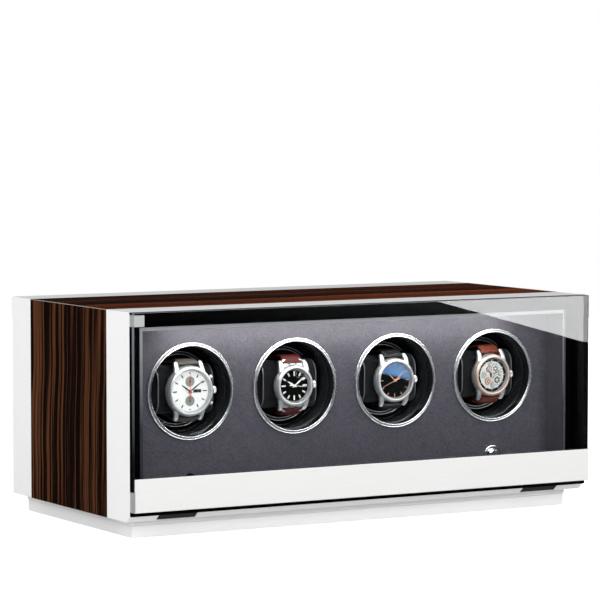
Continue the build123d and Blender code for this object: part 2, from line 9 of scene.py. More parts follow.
import bmesh
import bpy
import numpy as np
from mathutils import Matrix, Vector


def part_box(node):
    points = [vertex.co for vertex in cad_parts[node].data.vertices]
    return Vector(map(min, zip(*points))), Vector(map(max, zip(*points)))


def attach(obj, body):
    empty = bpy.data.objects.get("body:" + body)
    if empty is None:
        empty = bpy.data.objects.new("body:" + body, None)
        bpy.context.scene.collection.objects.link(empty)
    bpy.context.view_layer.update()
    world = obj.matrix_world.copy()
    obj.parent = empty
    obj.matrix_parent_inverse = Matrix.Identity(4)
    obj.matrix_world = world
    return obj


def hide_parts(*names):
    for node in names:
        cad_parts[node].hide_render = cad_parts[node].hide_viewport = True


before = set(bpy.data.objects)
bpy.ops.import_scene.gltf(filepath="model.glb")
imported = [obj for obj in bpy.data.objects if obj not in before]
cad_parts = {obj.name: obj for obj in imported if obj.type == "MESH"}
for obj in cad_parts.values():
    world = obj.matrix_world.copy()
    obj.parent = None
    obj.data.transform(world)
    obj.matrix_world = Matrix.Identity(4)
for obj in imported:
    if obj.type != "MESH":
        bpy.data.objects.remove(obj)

LOG = logging.getLogger("winder")
MM = 0.001
MODULES = (1, 2, 3, 4)
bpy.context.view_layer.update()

Tree = bpy.types.NodeTree
Socket = bpy.types.NodeSocket
Range = tuple[float, float]
Outline = Sequence[tuple[float, float]]
Surface = tuple[np.ndarray, Sequence]


# ---- Colour and shader helpers ----
def linear(hex_colour: str) -> tuple[float, float, float, float]:
    """Turns an sRGB hex colour such as "E8EAEC" into linear RGBA."""
    srgb = np.array([int(hex_colour[i : i + 2], 16) for i in (0, 2, 4)]) / 255.0
    rgb = np.where(srgb <= 0.04045, srgb / 12.92, ((srgb + 0.055) / 1.055) ** 2.4)
    return (float(rgb[0]), float(rgb[1]), float(rgb[2]), 1.0)


def add_node(tree: Tree, kind: str, inputs: Optional[dict] = None, **settings) -> bpy.types.Node:
    """Adds one shader node.

    Args:
        tree: The node tree to add to.
        kind: The node's Blender type after "ShaderNode", such as "Bump".
        inputs: Socket name or index to a value, or to another node's output socket, which is linked.
        **settings: The node's own properties.

    Returns:
        The new node.
    """
    made = tree.nodes.new(f"ShaderNode{kind}")
    for name, value in settings.items():
        setattr(made, name, value)
    for socket, value in (inputs or {}).items():
        if isinstance(value, Socket):
            tree.links.new(value, made.inputs[socket])
        else:
            made.inputs[socket].default_value = value
    return made


def mapped(tree: Tree, value: Socket, to: Range, span: Range = (0.0, 1.0), **settings) -> Socket:
    """Maps value from span onto the range `to`, and holds it there."""
    names = ("Value", "From Min", "From Max", "To Min", "To Max")
    return add_node(tree, "MapRange", dict(zip(names, (value, *span, *to))), **settings).outputs["Result"]


def share_of(tree: Tree, value: Socket, share: float, rest: Socket | float) -> Socket:
    """Returns value times share, plus the rest."""
    return add_node(tree, "Math", {0: value, 1: share, 2: rest}, operation="MULTIPLY_ADD").outputs[0]


def scaled(tree: Tree, vector: Socket | Sequence[float], factor: Socket | float) -> Socket:
    """Returns a vector or a colour times a number."""
    return add_node(tree, "VectorMath", {0: vector, "Scale": factor}, operation="SCALE").outputs["Vector"]


def noise(tree: Tree, place: Socket, scale: float, detail: float, output: str = "Fac") -> Socket:
    """Returns noise whose features are about 1 / scale metres across."""
    return add_node(tree, "TexNoise", {"Vector": place, "Scale": scale, "Detail": detail}).outputs[output]


def colour_ramp(tree: Tree, factor: Socket, stops: Sequence) -> Socket:
    """Adds a colour ramp over (position, hex colour) stops, driven by factor, and returns its colour."""
    ramp = add_node(tree, "ValToRGB", {"Fac": factor})
    elements = ramp.color_ramp.elements
    while len(elements) < len(stops):
        elements.new(0.5)
    for element, (position, colour) in zip(elements, stops):
        element.position = position
        element.color = linear(colour)
    return ramp.outputs["Color"]


def stretched(tree: Tree, stretch: Sequence[float] = (1.0, 1.0, 1.0), source: str = "Object") -> Socket:
    """Returns coordinates in metres, multiplied by stretch, so a small factor draws a pattern out along its axis."""
    coordinates = add_node(tree, "TexCoord")
    return add_node(tree, "Mapping", {"Vector": coordinates.outputs[source], "Scale": stretch}).outputs["Vector"]


@dataclass(frozen=True)
class Finish:
    """One surface finish: what it is made of, and the fine grain that light catches on it.

    grain_mm is the size of the surface's bumps or fibres, and grain_depth_mm their height. mottle is how far
    the colour strays from its mean, and wear how far the roughness does. stretch draws the grain out along an
    axis, as brushing does.
    """

    name: str
    colour: str
    roughness: float = 0.4
    metallic: float = 0.0
    coat: float = 0.0
    sheen: float = 0.0
    specular: float = 0.25
    grain_mm: float = 1.0
    grain_depth_mm: float = 0.0
    mottle: float = 0.0
    wear: float = 0.06
    stretch: tuple[float, float, float] = (1.0, 1.0, 1.0)

    def material(self) -> bpy.types.Material:
        """Builds the finish's material the first time, and returns the same one after that."""
        title = f"{self.name}_finish"
        made = bpy.data.materials.get(title)
        if made is None:
            made = bpy.data.materials.new(title)
            made.use_nodes = True
            self.dress(made.node_tree, made.node_tree.nodes["Principled BSDF"])
        return made

    def dress(self, tree: Tree, surface: bpy.types.Node) -> None:
        """Sets the shader's own sockets, then adds the finish's pattern."""
        sockets = {
            "Base Color": linear(self.colour),
            "Metallic": self.metallic,
            "Roughness": self.roughness,
            "Specular IOR Level": self.specular,
            "Coat Weight": self.coat,
            "Coat Roughness": 0.03,
            "Sheen Weight": self.sheen,
            "Sheen Roughness": 0.5,
        }
        for socket, value in sockets.items():
            surface.inputs[socket].default_value = value
        self.pattern(tree, surface)

    def grain(self, tree: Tree) -> Socket:
        """Returns noise whose features are grain_mm across."""
        return noise(tree, stretched(tree, self.stretch), 1.0 / (self.grain_mm * MM), 4.0)

    def pattern(self, tree: Tree, surface: bpy.types.Node) -> None:
        """Adds colour mottle, uneven roughness and bump from one noise."""
        grain = self.grain(tree)
        self.tint(tree, surface, mapped(tree, grain, (1.0 - self.mottle, 1.0 + self.mottle), (0.3, 0.7)))
        uneven = (self.roughness * (1 - self.wear), self.roughness * (1 + self.wear))
        tree.links.new(mapped(tree, grain, uneven), surface.inputs["Roughness"])
        if self.grain_depth_mm:
            self.bump(tree, surface, grain)

    def tint(self, tree: Tree, surface: bpy.types.Node, level: Socket) -> None:
        """Gives the surface the finish's colour times level."""
        tree.links.new(scaled(tree, linear(self.colour)[:3], level), surface.inputs["Base Color"])

    def bump(self, tree: Tree, surface: bpy.types.Node, height: Socket) -> None:
        """Raises the surface by height, of the grain's depth."""
        sockets = {"Height": height, "Strength": 1.0, "Distance": self.grain_depth_mm * MM}
        tree.links.new(add_node(tree, "Bump", sockets).outputs["Normal"], surface.inputs["Normal"])


@dataclass(frozen=True)
class Veneer(Finish):
    """Macassar ebony: straight black and red-brown stripes, 1 to 8 mm wide, with fine dark pores.

    Each layer of stripes has its scale, how little it changes along the stripes, and its share of the whole.
    """

    layers: tuple = ((32.0, 0.02, 0.18), (150.0, 0.008, 0.42), (420.0, 0.006, 0.30), (1500.0, 0.012, 0.10))
    stops: tuple = (
        (0.37, "1C110B"),
        (0.43, "0C0705"),
        (0.485, "120A07"),
        (0.512, "382014"),
        (0.54, "54321F"),
        (0.56, "3A2317"),
        (0.59, "5A3823"),
        (0.65, "6E452A"),
    )
    top_facing: Range = (0.6, 0.8)
    top_width: float = 4.0
    # How the top's tone is tinted against the sides': redder and brighter.
    top_colour: tuple[float, float, float] = (1.9, 1.15, 0.72)
    drift: float = 0.016

    def pattern(self, tree: Tree, surface: bpy.types.Node) -> None:
        """Stripes run along X and Z and change along Y, so they stand on the sides and lie along the top.

        The top is cut from broader leaves, so its stripes are several times as wide; its tone is also tinted redder and
        brighter than the sides'.
        """
        wander = noise(tree, stretched(tree, (1.0, 0.25, 1.0)), 9.0, 2.0, "Color")
        place = {0: stretched(tree), 1: scaled(tree, wander, self.drift)}
        shifted = add_node(tree, "VectorMath", place, operation="ADD").outputs["Vector"]
        upright = add_node(tree, "SeparateXYZ", {"Vector": stretched(tree, source="Normal")}).outputs["Z"]
        shifted = scaled(tree, shifted, mapped(tree, upright, (1.0, 1.0 / self.top_width), self.top_facing))
        mixed = 0.0
        for scale, along, share in self.layers:
            drawn = add_node(tree, "Mapping", {"Vector": shifted, "Scale": (along, 1.0, along)})
            mixed = share_of(tree, noise(tree, drawn.outputs["Vector"], scale, 1.5), share, mixed)
        wood = colour_ramp(tree, mixed, self.stops)
        redder = add_node(tree, "VectorMath", {0: wood, 1: self.top_colour}, operation="MULTIPLY").outputs["Vector"]
        both = {"Factor": mapped(tree, upright, (0.0, 1.0), self.top_facing), "A": wood, "B": redder}
        cut = add_node(tree, "Mix", both, data_type="VECTOR")
        tree.links.new(cut.outputs["Result"], surface.inputs["Base Color"])


@dataclass(frozen=True)
class Suede(Finish):
    """Microfibre suede: matt, faintly blotched where the nap lies different ways, with a soft rim of sheen."""

    def pattern(self, tree: Tree, surface: bpy.types.Node) -> None:
        """Blends blotches 12 mm across with fibres about half a millimetre long."""
        fibre = self.grain(tree)
        both = share_of(tree, noise(tree, stretched(tree), 80.0, 3.0), 0.25, fibre)
        self.tint(tree, surface, mapped(tree, both, (1 - self.mottle, 1 + self.mottle), (0.45, 0.8)))
        self.bump(tree, surface, fibre)


@dataclass(frozen=True)
class Glass(Finish):
    """Float glass or crystal. Light goes straight through it, so what is behind it is lit as in air."""

    ior: float = 1.5

    def dress(self, tree: Tree, surface: bpy.types.Node) -> None:
        """Mixes a clear body with a mirror by Fresnel's law, each face of the pane reflecting its own share.

        Light isn't bent on its way in, so the far face is given the inverse index: it then reflects as the near one.
        """
        side = add_node(tree, "NewGeometry").outputs["Backfacing"]
        index = mapped(tree, side, (self.ior, 1.0 / self.ior))
        facing = add_node(tree, "Fresnel", {"IOR": index}).outputs["Fac"]
        clear = add_node(tree, "BsdfTransparent", {"Color": linear(self.colour)}).outputs["BSDF"]
        mirror = add_node(tree, "BsdfGlossy", {"Color": (1, 1, 1, 1), "Roughness": self.roughness}).outputs["BSDF"]
        mixed = add_node(tree, "MixShader", {0: facing, 1: clear, 2: mirror})
        tree.links.new(mixed.outputs["Shader"], tree.nodes["Material Output"].inputs["Surface"])


@dataclass(frozen=True)
class Fade(Finish):
    """Two tones: low under a line and the finish's own colour over it, used for a painted reflection on a dial and
    painted light on lit edges.
    """

    low: str = "000000"
    middle: float = 0.137
    reach: float = 0.0012
    tilt: float = 0.25

    def pattern(self, tree: Tree, surface: bpy.types.Node) -> None:
        """Blends the two colours across the line z + tilt x = middle, over reach to either side, in metres."""
        place = add_node(tree, "SeparateXYZ", {"Vector": stretched(tree)}).outputs
        height = share_of(tree, place["X"], self.tilt, place["Z"])
        level = mapped(tree, height, (0.0, 1.0), (self.middle - self.reach, self.middle + self.reach))
        colour = colour_ramp(tree, level, ((0.0, self.low), (1.0, self.colour)))
        tree.links.new(colour, surface.inputs["Base Color"])


@dataclass(frozen=True)
class Glow(Finish):
    """A surface that gives light of its own, such as an opal diffuser lit from behind."""

    strength: float = 3.0
    light: str = "F2F5FF"

    def dress(self, tree: Tree, surface: bpy.types.Node) -> None:
        """Adds light to the plain finish."""
        super().dress(tree, surface)
        surface.inputs["Emission Color"].default_value = linear(self.light)
        surface.inputs["Emission Strength"].default_value = self.strength


@dataclass(frozen=True)
class Hide(Finish):
    """Strap leather: scales or pores from cells about grain_mm across, darker in the furrows between them."""

    furrow: float = 0.22

    def pattern(self, tree: Tree, surface: bpy.types.Node) -> None:
        """Cells' borders give both the furrows and their darker colour."""
        sockets = {"Vector": stretched(tree, self.stretch), "Scale": 1.0 / (self.grain_mm * MM), "Randomness": 0.7}
        cells = add_node(tree, "TexVoronoi", sockets, feature="DISTANCE_TO_EDGE").outputs["Distance"]
        rounded = mapped(tree, cells, (0.0, 1.0), (0.0, self.furrow), interpolation_type="SMOOTHSTEP")
        self.tint(tree, surface, mapped(tree, rounded, (1 - self.mottle, 1.0)))
        self.bump(tree, surface, rounded)


# Polyurethane lacquer, sprayed and polished: white, a broad soft gloss and a trace of orange peel.
WHITE_LACQUER = Finish("white_gloss_lacquer", "E3E3E3", 0.30, specular=0.3, grain_mm=9, grain_depth_mm=0.004)
# The plinth has the same white lacquer a shade lighter: painted light that offsets the shade under the cabinet's
# overhang.
PLINTH_LACQUER_PAINTED_LIGHT = Finish("white_plinth_lacquer_painted_light", "E6E6E6", 0.30, specular=0.3, grain_mm=9, grain_depth_mm=0.004)
# Two veneers meet at each long corner; the pale line along it is a painted highlight where the corner catches the
# light.
CORNER_HIGHLIGHT = Finish("veneer_corner_painted_highlight", "8E8B87", 0.3, specular=0.3, grain_mm=2)
MACASSAR = Veneer("macassar_veneer_gloss", "2A140C", 0.2, coat=0.12, specular=0.08)
BLACK_SATIN = Finish("black_satin_moulding", "030304", 0.2, specular=0.05, grain_mm=0.5, grain_depth_mm=0.002)
PANEL_SUEDE = Suede(
    "charcoal_suede", "4A4850", 0.95, sheen=0.08, specular=0.05, grain_mm=1.1, grain_depth_mm=0.15, mottle=0.24
)
CUSHION_SUEDE = Suede(
    "dark_cushion_suede", "17171B", 0.85, sheen=0.12, specular=0.05, grain_mm=0.5, grain_depth_mm=0.1, mottle=0.15
)
DOOR_GLASS = Glass("float_glass", "FEFFFF", 0.0)
CRYSTAL = Glass("coated_watch_crystal", "FFFFFF", 0.0, ior=1.18)
# Anodised aluminium brushed along X: long hair lines, nearly white under a soft light.
RAIL_ALUMINIUM = Finish(
    "brushed_aluminium", "CFCFCE", 0.5, metallic=0.03, specular=0.1, grain_mm=0.35, grain_depth_mm=0.003,
    mottle=0.025, stretch=(0.01, 1, 1),
)
SATIN_CHROME = Finish("satin_chrome", "A2A5A4", 0.42, metallic=0.25, grain_mm=0.3, grain_depth_mm=0.003)
BEZEL_CHROME = Finish("bezel_chrome", "E4E6E8", 0.22, metallic=1.0, grain_mm=20, wear=0.02)
CHROME = Finish("polished_chrome", "EDEFF2", 0.05, metallic=1.0, grain_mm=6, wear=0.2)
GLOSS_BLACK = Finish("gloss_black_moulding", "060607", 0.12, coat=0.2, specular=0.15, grain_mm=4)
# The ribbed sleeve's black moulding painted dark grey: painted light so its ribs show lit.
RIBBED_PAINTED_LIGHT = Finish("ribbed_mouth_moulding_painted_light", "3E3F44", 0.2, metallic=0.5, coat=0.3, grain_mm=4)
FINE_BLACK = Finish("black_textured_moulding", "17171A", 0.55, grain_mm=0.7, grain_depth_mm=0.05, mottle=0.1)
RUBBER = Finish("black_rubber", "0E0E10", 0.72, grain_mm=0.8, grain_depth_mm=0.04, mottle=0.1)
ZINC = Finish("zinc_plated_steel", "A9ABAE", 0.35, metallic=1.0, grain_mm=1.5, grain_depth_mm=0.004, mottle=0.05)
BOARD = Finish("circuit_board", "0D3A22", 0.4, coat=0.3, grain_mm=2.5, mottle=0.2)
SILVER_DIAL = Finish("silvered_dial", "EFEFEE", 0.4, specular=0.1, grain_mm=3, mottle=0.02)
GREY_DIAL = Finish("grey_subdial", "8C8B87", 0.45, metallic=0.1, grain_mm=0.4, grain_depth_mm=0.01)
BLACK_DIAL = Finish("black_dial", "060607", 0.3, coat=0.1, specular=0.06, grain_mm=3)
# A black dial painted blue over its upper part: a painted reflection of the crystal's blue coating.
DIAL_PAINTED_BLUE_REFLECTION = Fade("black_dial_painted_blue_reflection", "567FAE", 0.35, specular=0.06, low="050607")
CHAPTER_BLUE = Finish("dark_chapter_ring", "10141D", 0.3, specular=0.1)
BRIDGE_SILVER = Finish(
    "brushed_movement_plate", "D8D8D4", 0.35, metallic=0.25, grain_mm=0.25, grain_depth_mm=0.02, mottle=0.12
)
STEEL = Finish("polished_case_steel", "DDDFE1", 0.33, metallic=0.85, grain_mm=9, wear=0.05)
BRUSHED_STEEL = Finish("brushed_case_steel", "C4C8CC", 0.38, metallic=0.85, grain_mm=9, wear=0.05)
ROSE_GOLD = Finish("rose_gold", "E6C9B8", 0.33, metallic=0.8, grain_mm=9, wear=0.05)
ROSE_BATON = Finish("rose_gold_baton", "E6B296", 0.4, metallic=0.15, grain_mm=3)
PALE_BATON = Finish("silver_baton", "E4E4E0", 0.4, metallic=0.1, grain_mm=3)
# Dark brown discs under the wheels: painted shade standing for the depth of the openings.
WELL_PAINTED_SHADE = Finish("movement_recess_painted_shade", "3A2A22", 0.5, metallic=0.2, grain_mm=0.6, mottle=0.4)
WHITE_LUME = Finish("white_lume", "F2F2EC", 0.5, grain_mm=0.3, grain_depth_mm=0.01)
DARK_PRINT = Finish("dark_steel_hand", "26272A", 0.3, metallic=0.6, grain_mm=1)
ORANGE = Finish("orange_enamel", "F0532A", 0.4, grain_mm=1, mottle=0.04)
GREY_HIDE = Hide("grey_calf_strap", "4C4845", 0.6, grain_mm=0.9, grain_depth_mm=0.06, mottle=0.25)
WINE_HIDE = Hide("burgundy_calf_strap", "4C1315", 0.5, grain_mm=0.9, grain_depth_mm=0.06, mottle=0.3)
# Alligator grain: long belly scales that lie across the strap, drawn out along X.
SCALES = {"coat": 0.3, "grain_mm": 3.2, "grain_depth_mm": 0.35, "stretch": (0.55, 1, 1)}
BLACK_SCALE = Hide("black_alligator_strap", "17171A", 0.32, mottle=0.5, **SCALES)
BROWN_SCALE = Hide("brown_alligator_strap", "702E1F", 0.35, mottle=0.55, **SCALES)
# Pale grey piping: a painted highlight of the cushion's lit end edge on the dark suede.
PIPING_PAINTED_HIGHLIGHT = Finish("cushion_piping_painted_highlight", "5A5A60", 0.35, coat=0.3, grain_mm=0.4, grain_depth_mm=0.03)
THREAD_GREY = Finish("grey_thread", "8C8884", 0.8, grain_mm=0.2, grain_depth_mm=0.02)
THREAD_WINE = Finish("wine_thread", "6E3434", 0.8, grain_mm=0.2, grain_depth_mm=0.02)
THREAD_BLACK = Finish("black_thread", "2A2A2C", 0.8, grain_mm=0.2, grain_depth_mm=0.02)
THREAD_TAN = Finish("tan_thread", "A0694A", 0.8, grain_mm=0.2, grain_depth_mm=0.02)
OPAL = Glow("lit_opal_diffuser", "F4F4F8", 0.5, strength=4.5, grain_mm=2, light="FFF8F0")
# Painted light from above: the pane's ground edge and the lining's tape are both painted paler towards the top. The
# edge's grey is partly its own ground tone; the tape's pale tone is a painted highlight.
GROUND_EDGE_PAINTED_LIGHT = Fade("ground_glass_edge_painted_light", "70767B", 0.3, coat=0.2, low="0D1013", middle=0.125, reach=0.055, tilt=0.0)
# The lining's edge tape: pale grey as a painted highlight of the lining's lit front edge, painted darker downwards.
TAPE_PAINTED_HIGHLIGHT = Fade("liner_tape_painted_highlight", "A0A0A4", 0.9, specular=0.05, low="34343A", middle=0.138, reach=0.044, tilt=0.0)
GROOVE_GREY = Finish("bezel_groove", "8A8B8F", 0.5, grain_mm=4)
# Grey rolled edges: painted highlights on the rotor's black moulding.
LIP_PAINTED_HIGHLIGHT = Finish("rotor_lip_painted_highlight", "7C7E84", 0.22, metallic=0.6, coat=0.6, grain_mm=4)
ENAMEL = Finish("black_enamel_border", "040405", 0.25, specular=0.3)


def dress(finish: Finish, *nodes: str) -> None:
    """Gives CAD nodes a finish."""
    for node in nodes:
        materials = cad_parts[node].data.materials
        materials.clear()
        materials.append(finish.material())


# ---- Surfaces ----
def middle_of(node: str) -> list[float]:
    """Returns the middle of a CAD node's box, in metres."""
    low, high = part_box(node)
    return [(low[k] + high[k]) / 2 for k in (0, 1, 2)]


def half_size(node: str) -> list[float]:
    """Returns half of a CAD node's size along X, Y and Z, in millimetres."""
    low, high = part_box(node)
    return [(high[k] - low[k]) / 2 / MM for k in (0, 1, 2)]


def rectangle(left: float, right: float, low: float, high: float) -> Outline:
    """Returns a rectangle's corners in order from its lower left."""
    return [(left, low), (right, low), (right, high), (left, high)]


def add_object(name: str, data: bpy.types.ID) -> bpy.types.Object:
    """Puts a mesh, a light or a camera into the scene, at the origin."""
    made = bpy.data.objects.new(name, data)
    bpy.context.scene.collection.objects.link(made)
    return made


def merge_doubles(mesh: bpy.types.Mesh, repair: bool = False) -> None:
    """Merges a mesh's double vertices; repair also drops its empty faces and points the rest outwards."""
    work = bmesh.new()
    work.from_mesh(mesh)
    bmesh.ops.remove_doubles(work, verts=work.verts, dist=1e-6)
    if repair:
        bmesh.ops.dissolve_degenerate(work, edges=work.edges, dist=1e-7)
        bmesh.ops.recalc_face_normals(work, faces=work.faces)
    work.to_mesh(mesh)
    work.free()


def smooth(mesh: bpy.types.Mesh) -> None:
    """Shades all of a mesh's faces smooth."""
    mesh.polygons.foreach_set("use_smooth", np.ones(len(mesh.polygons), dtype=bool))


def capped(points: np.ndarray, faces: np.ndarray, count: int) -> Surface:
    """Closes both ends of an open tube whose sections have that many points."""
    first, last = list(range(count)), list(range(len(points) - count, len(points)))
    return points, faces.tolist() + [first[::-1], last]


def directions(path: np.ndarray, closed: bool) -> tuple[np.ndarray, np.ndarray]:
    """Returns a flat path's unit tangents, from each point's two neighbours, and its normals."""
    ahead = np.roll(path, -1, axis=0) - np.roll(path, 1, axis=0)
    if not closed:
        ahead[0], ahead[-1] = path[1] - path[0], path[-1] - path[-2]
    ahead = ahead / np.linalg.norm(ahead, axis=1, keepdims=True)
    return ahead, np.stack([-ahead[:, 1], ahead[:, 0]], axis=1)


def superellipse(wave: np.ndarray, half: np.ndarray) -> np.ndarray:
    """Returns the square root of a wave, with its sign, times half a width: a section of exponent 4."""
    return np.sign(wave) * np.abs(wave) ** 0.5 * np.reshape(half, (-1, 1))


def arc_points(middle: Sequence[float], radii: Sequence[float], angles: np.ndarray) -> Outline:
    """Returns points on an ellipse about middle at those angles in radians."""
    return [(middle[0] + radii[0] * math.cos(a), middle[1] + radii[1] * math.sin(a)) for a in angles]


def surface_arrays(points: np.ndarray, wrap_u: bool, wrap_v: bool) -> Surface:
    """Turns a grid of points into vertices and quads.

    Args:
        points: Array of shape (u, v, 3).
        wrap_u: True if the last row joins the first.
        wrap_v: True if the last column joins the first.

    Returns:
        Vertices of shape (n, 3) and quads of shape (m, 4).
    """
    rows, columns = points.shape[:2]
    index = np.arange(rows * columns).reshape(rows, columns)
    index = np.vstack([index, index[:1]]) if wrap_u else index
    index = np.hstack([index, index[:, :1]]) if wrap_v else index
    corners = (index[:-1, :-1], index[1:, :-1], index[1:, 1:], index[:-1, 1:])
    return points.reshape(-1, 3), np.stack([c.ravel() for c in corners], axis=1)


def build(name: str, parts: Sequence[Surface], finish: Finish, sharp: float = 35.0) -> bpy.types.Object:
    """Makes one object from several surfaces.

    Args:
        name: The object's name.
        parts: Pairs of vertices in metres and faces.
        finish: Its finish.
        sharp: Edges that turn by more degrees than this stay crisp.

    Returns:
        The new object, at the origin.
    """
    vertices, faces, start = [], [], 0
    for points, polygons in parts:
        vertices.append(points)
        faces.extend([[int(i) + start for i in face] for face in polygons])
        start += len(points)
    mesh = bpy.data.meshes.new(name)
    mesh.from_pydata(np.vstack(vertices).tolist(), [], faces)
    merge_doubles(mesh, repair=True)
    smooth(mesh)
    mesh.set_sharp_from_angle(angle=math.radians(sharp))
    mesh.materials.append(finish.material())
    return add_object(name, mesh)


@dataclass(frozen=True)
class Seat:
    """A place that faces the front, in metres. From it u runs to the right, v up and w forwards, in millimetres."""

    x: float
    y: float
    z: float

    def place(self, u: np.ndarray, v: np.ndarray, w: np.ndarray | float) -> np.ndarray:
        """Returns points in metres for local coordinates, which may be arrays of any matching shape."""
        u, v, w = np.broadcast_arrays(u, v, w)
        return np.stack([self.x + u * MM, self.y - w * MM, self.z + v * MM], axis=-1)

    def turned(
        self,
        profile: Outline,
        steps: int = 96,
        at: Range = (0.0, 0.0),
        flute: Optional[Callable] = None,
        span: Optional[Range] = None,
    ) -> Surface:
        """Revolves a closed profile of (radius, w) points about w.

        Args:
            profile: Points in order round the section.
            steps: Facets round the turn.
            at: The axis, as (u, v).
            flute: Optional function of the angle that is added to the radius.
            span: First and last angle in degrees, if it isn't a whole turn; its two ends are capped.

        Returns:
            Vertices and faces.
        """
        radius, w = np.array(profile, dtype=float).T
        if span:
            angle = np.radians(np.linspace(span[0], span[1], steps))[:, None]
        else:
            angle = np.linspace(0, 2 * np.pi, steps, endpoint=False)[:, None]
        reach = radius[None, :] + (flute(angle) if flute else 0.0)
        reach = np.where(radius[None, :] < 1e-6, 0.0, reach)
        grid = self.place(at[0] + reach * np.cos(angle), at[1] + reach * np.sin(angle), w[None, :] + 0 * angle)
        closed = abs(radius[0]) > 1e-6 or abs(radius[-1]) > 1e-6
        points, faces = surface_arrays(grid, span is None, closed)
        return capped(points, faces, len(profile)) if span else (points, faces)

    def prism(
        self, outline: Outline, w_low: float, w_high: float, turn: float = 0.0, edge: float = 0.0
    ) -> Surface:
        """Raises a flat outline of (u, v) points from w_low to w_high.

        Args:
            outline: Points in order, turned clockwise by turn degrees as a watch hand is.
            w_low: Height of its base.
            w_high: Height of its top.
            turn: Clockwise turn in degrees.
            edge: How far the top is drawn in, which bevels the sides.

        Returns:
            Vertices and faces.
        """
        flat = np.array(outline, dtype=float)
        a = -math.radians(turn)
        spun = flat @ np.array([[math.cos(a), math.sin(a)], [-math.sin(a), math.cos(a)]])
        middle = spun.mean(axis=0)
        span = np.maximum(np.linalg.norm(spun - middle, axis=1, keepdims=True), 1e-6)
        top = middle + (spun - middle) * (1 - np.minimum(edge / span, 0.6))
        count = len(spun)
        points = np.vstack([self.place(spun[:, 0], spun[:, 1], w_low), self.place(top[:, 0], top[:, 1], w_high)])
        first = np.arange(count)
        after = (first + 1) % count
        sides = [[int(i), int(j), int(j + count), int(i + count)] for i, j in zip(first, after)]
        return points, sides + [first[::-1].tolist(), (first + count).tolist()]

    def swept(
        self,
        path: np.ndarray,
        half_width: float | np.ndarray,
        half_height: float | np.ndarray,
        middle: float | np.ndarray = 0.0,
        sections: int = 16,
        closed: bool = True,
    ) -> Surface:
        """Carries a rounded section along a path in the v-w plane, with the section's width along u.

        Args:
            path: Array of (v, w) points.
            half_width: Half of the section along u, or one value for each point of the path.
            half_height: Half of the section across the path, or one value for each point.
            middle: The section's middle along u, or a column with one value for each point.
            sections: Points round the section, a superellipse of exponent 4.
            closed: True if the path joins its own start; otherwise its two ends are capped.

        Returns:
            Vertices and faces.
        """
        _, normal = directions(path, closed)
        turn = np.linspace(0, 2 * np.pi, sections, endpoint=False)
        wide, high = superellipse(np.cos(turn), half_width), superellipse(np.sin(turn), half_height)
        spot = path[:, None, :] + normal[:, None, :] * high[..., None]
        points, faces = surface_arrays(self.place(middle + wide, spot[..., 0], spot[..., 1]), closed, True)
        return (points, faces) if closed else capped(points, faces, sections)

    def stem(
        self, profile: Outline, middle_w: float, heading: float = 0.0, flutes: int = 0, depth: float = 0.0
    ) -> Surface:
        """Revolves (radius, distance) points about a line in the dial's plane, as for a crown or a pusher.

        Args:
            profile: Points from the axis to the axis again.
            middle_w: The line's height.
            heading: Its direction in degrees, 0 towards 3 o'clock and positive towards 12.
            flutes: Ridges round the widest part.
            depth: Their depth.

        Returns:
            Vertices and quads.
        """
        radius, along = np.array(profile, dtype=float).T
        turn = np.linspace(0, 2 * np.pi, max(24, flutes * 4), endpoint=False)[:, None]
        grip = (radius > 0.9 * radius.max())[None, :] * depth * np.cos(flutes * turn)
        reach = np.where(radius[None, :] < 1e-6, 0.0, radius[None, :] + grip)
        side, rise = reach * np.cos(turn), reach * np.sin(turn)
        c, s = math.cos(math.radians(heading)), math.sin(math.radians(heading))
        grid = self.place(along[None, :] * c - side * s, along[None, :] * s + side * c, middle_w + rise)
        return surface_arrays(grid, True, False)

    def stitches(
        self, path: np.ndarray, lift: float, middle: float, spacing: float = 3.0, half: Range = (0.28, 1.0)
    ) -> Surface:
        """Lays short rounded stitches along a path in the v-w plane, each an ellipsoid half sunk in the leather.

        Args:
            path: Array of (v, w) points, evenly spaced.
            lift: Height of the stitches' middles above the path.
            middle: Their place along u.
            spacing: From one stitch to the next.
            half: Half of a stitch's thickness and of its length.

        Returns:
            Vertices and quads.
        """
        step = float(np.linalg.norm(path[1] - path[0]))
        picked = np.arange(1, len(path) - 1, max(1, round(spacing / step)))
        ahead, normal = (each[picked] for each in directions(path, True))
        base = path[picked] + normal * lift
        around = np.linspace(0, 2 * np.pi, 6, endpoint=False)[:, None]
        down = np.linspace(0, np.pi, 5)[None, :]
        u = half[0] * np.cos(around) * np.sin(down)
        out = half[0] * np.sin(around) * np.sin(down)
        along = half[1] * np.cos(down) + 0 * around
        vw = base[:, None, None, :] + normal[:, None, None, :] * out[..., None]
        vw = vw + ahead[:, None, None, :] * along[..., None]
        grid = self.place(middle + u[None], vw[..., 0], vw[..., 1])
        _, quads = surface_arrays(grid[0], True, False)
        shift = (np.arange(len(picked)) * grid[0][..., 0].size)[:, None, None]
        return grid.reshape(-1, 3), (quads[None] + shift).reshape(-1, 4)


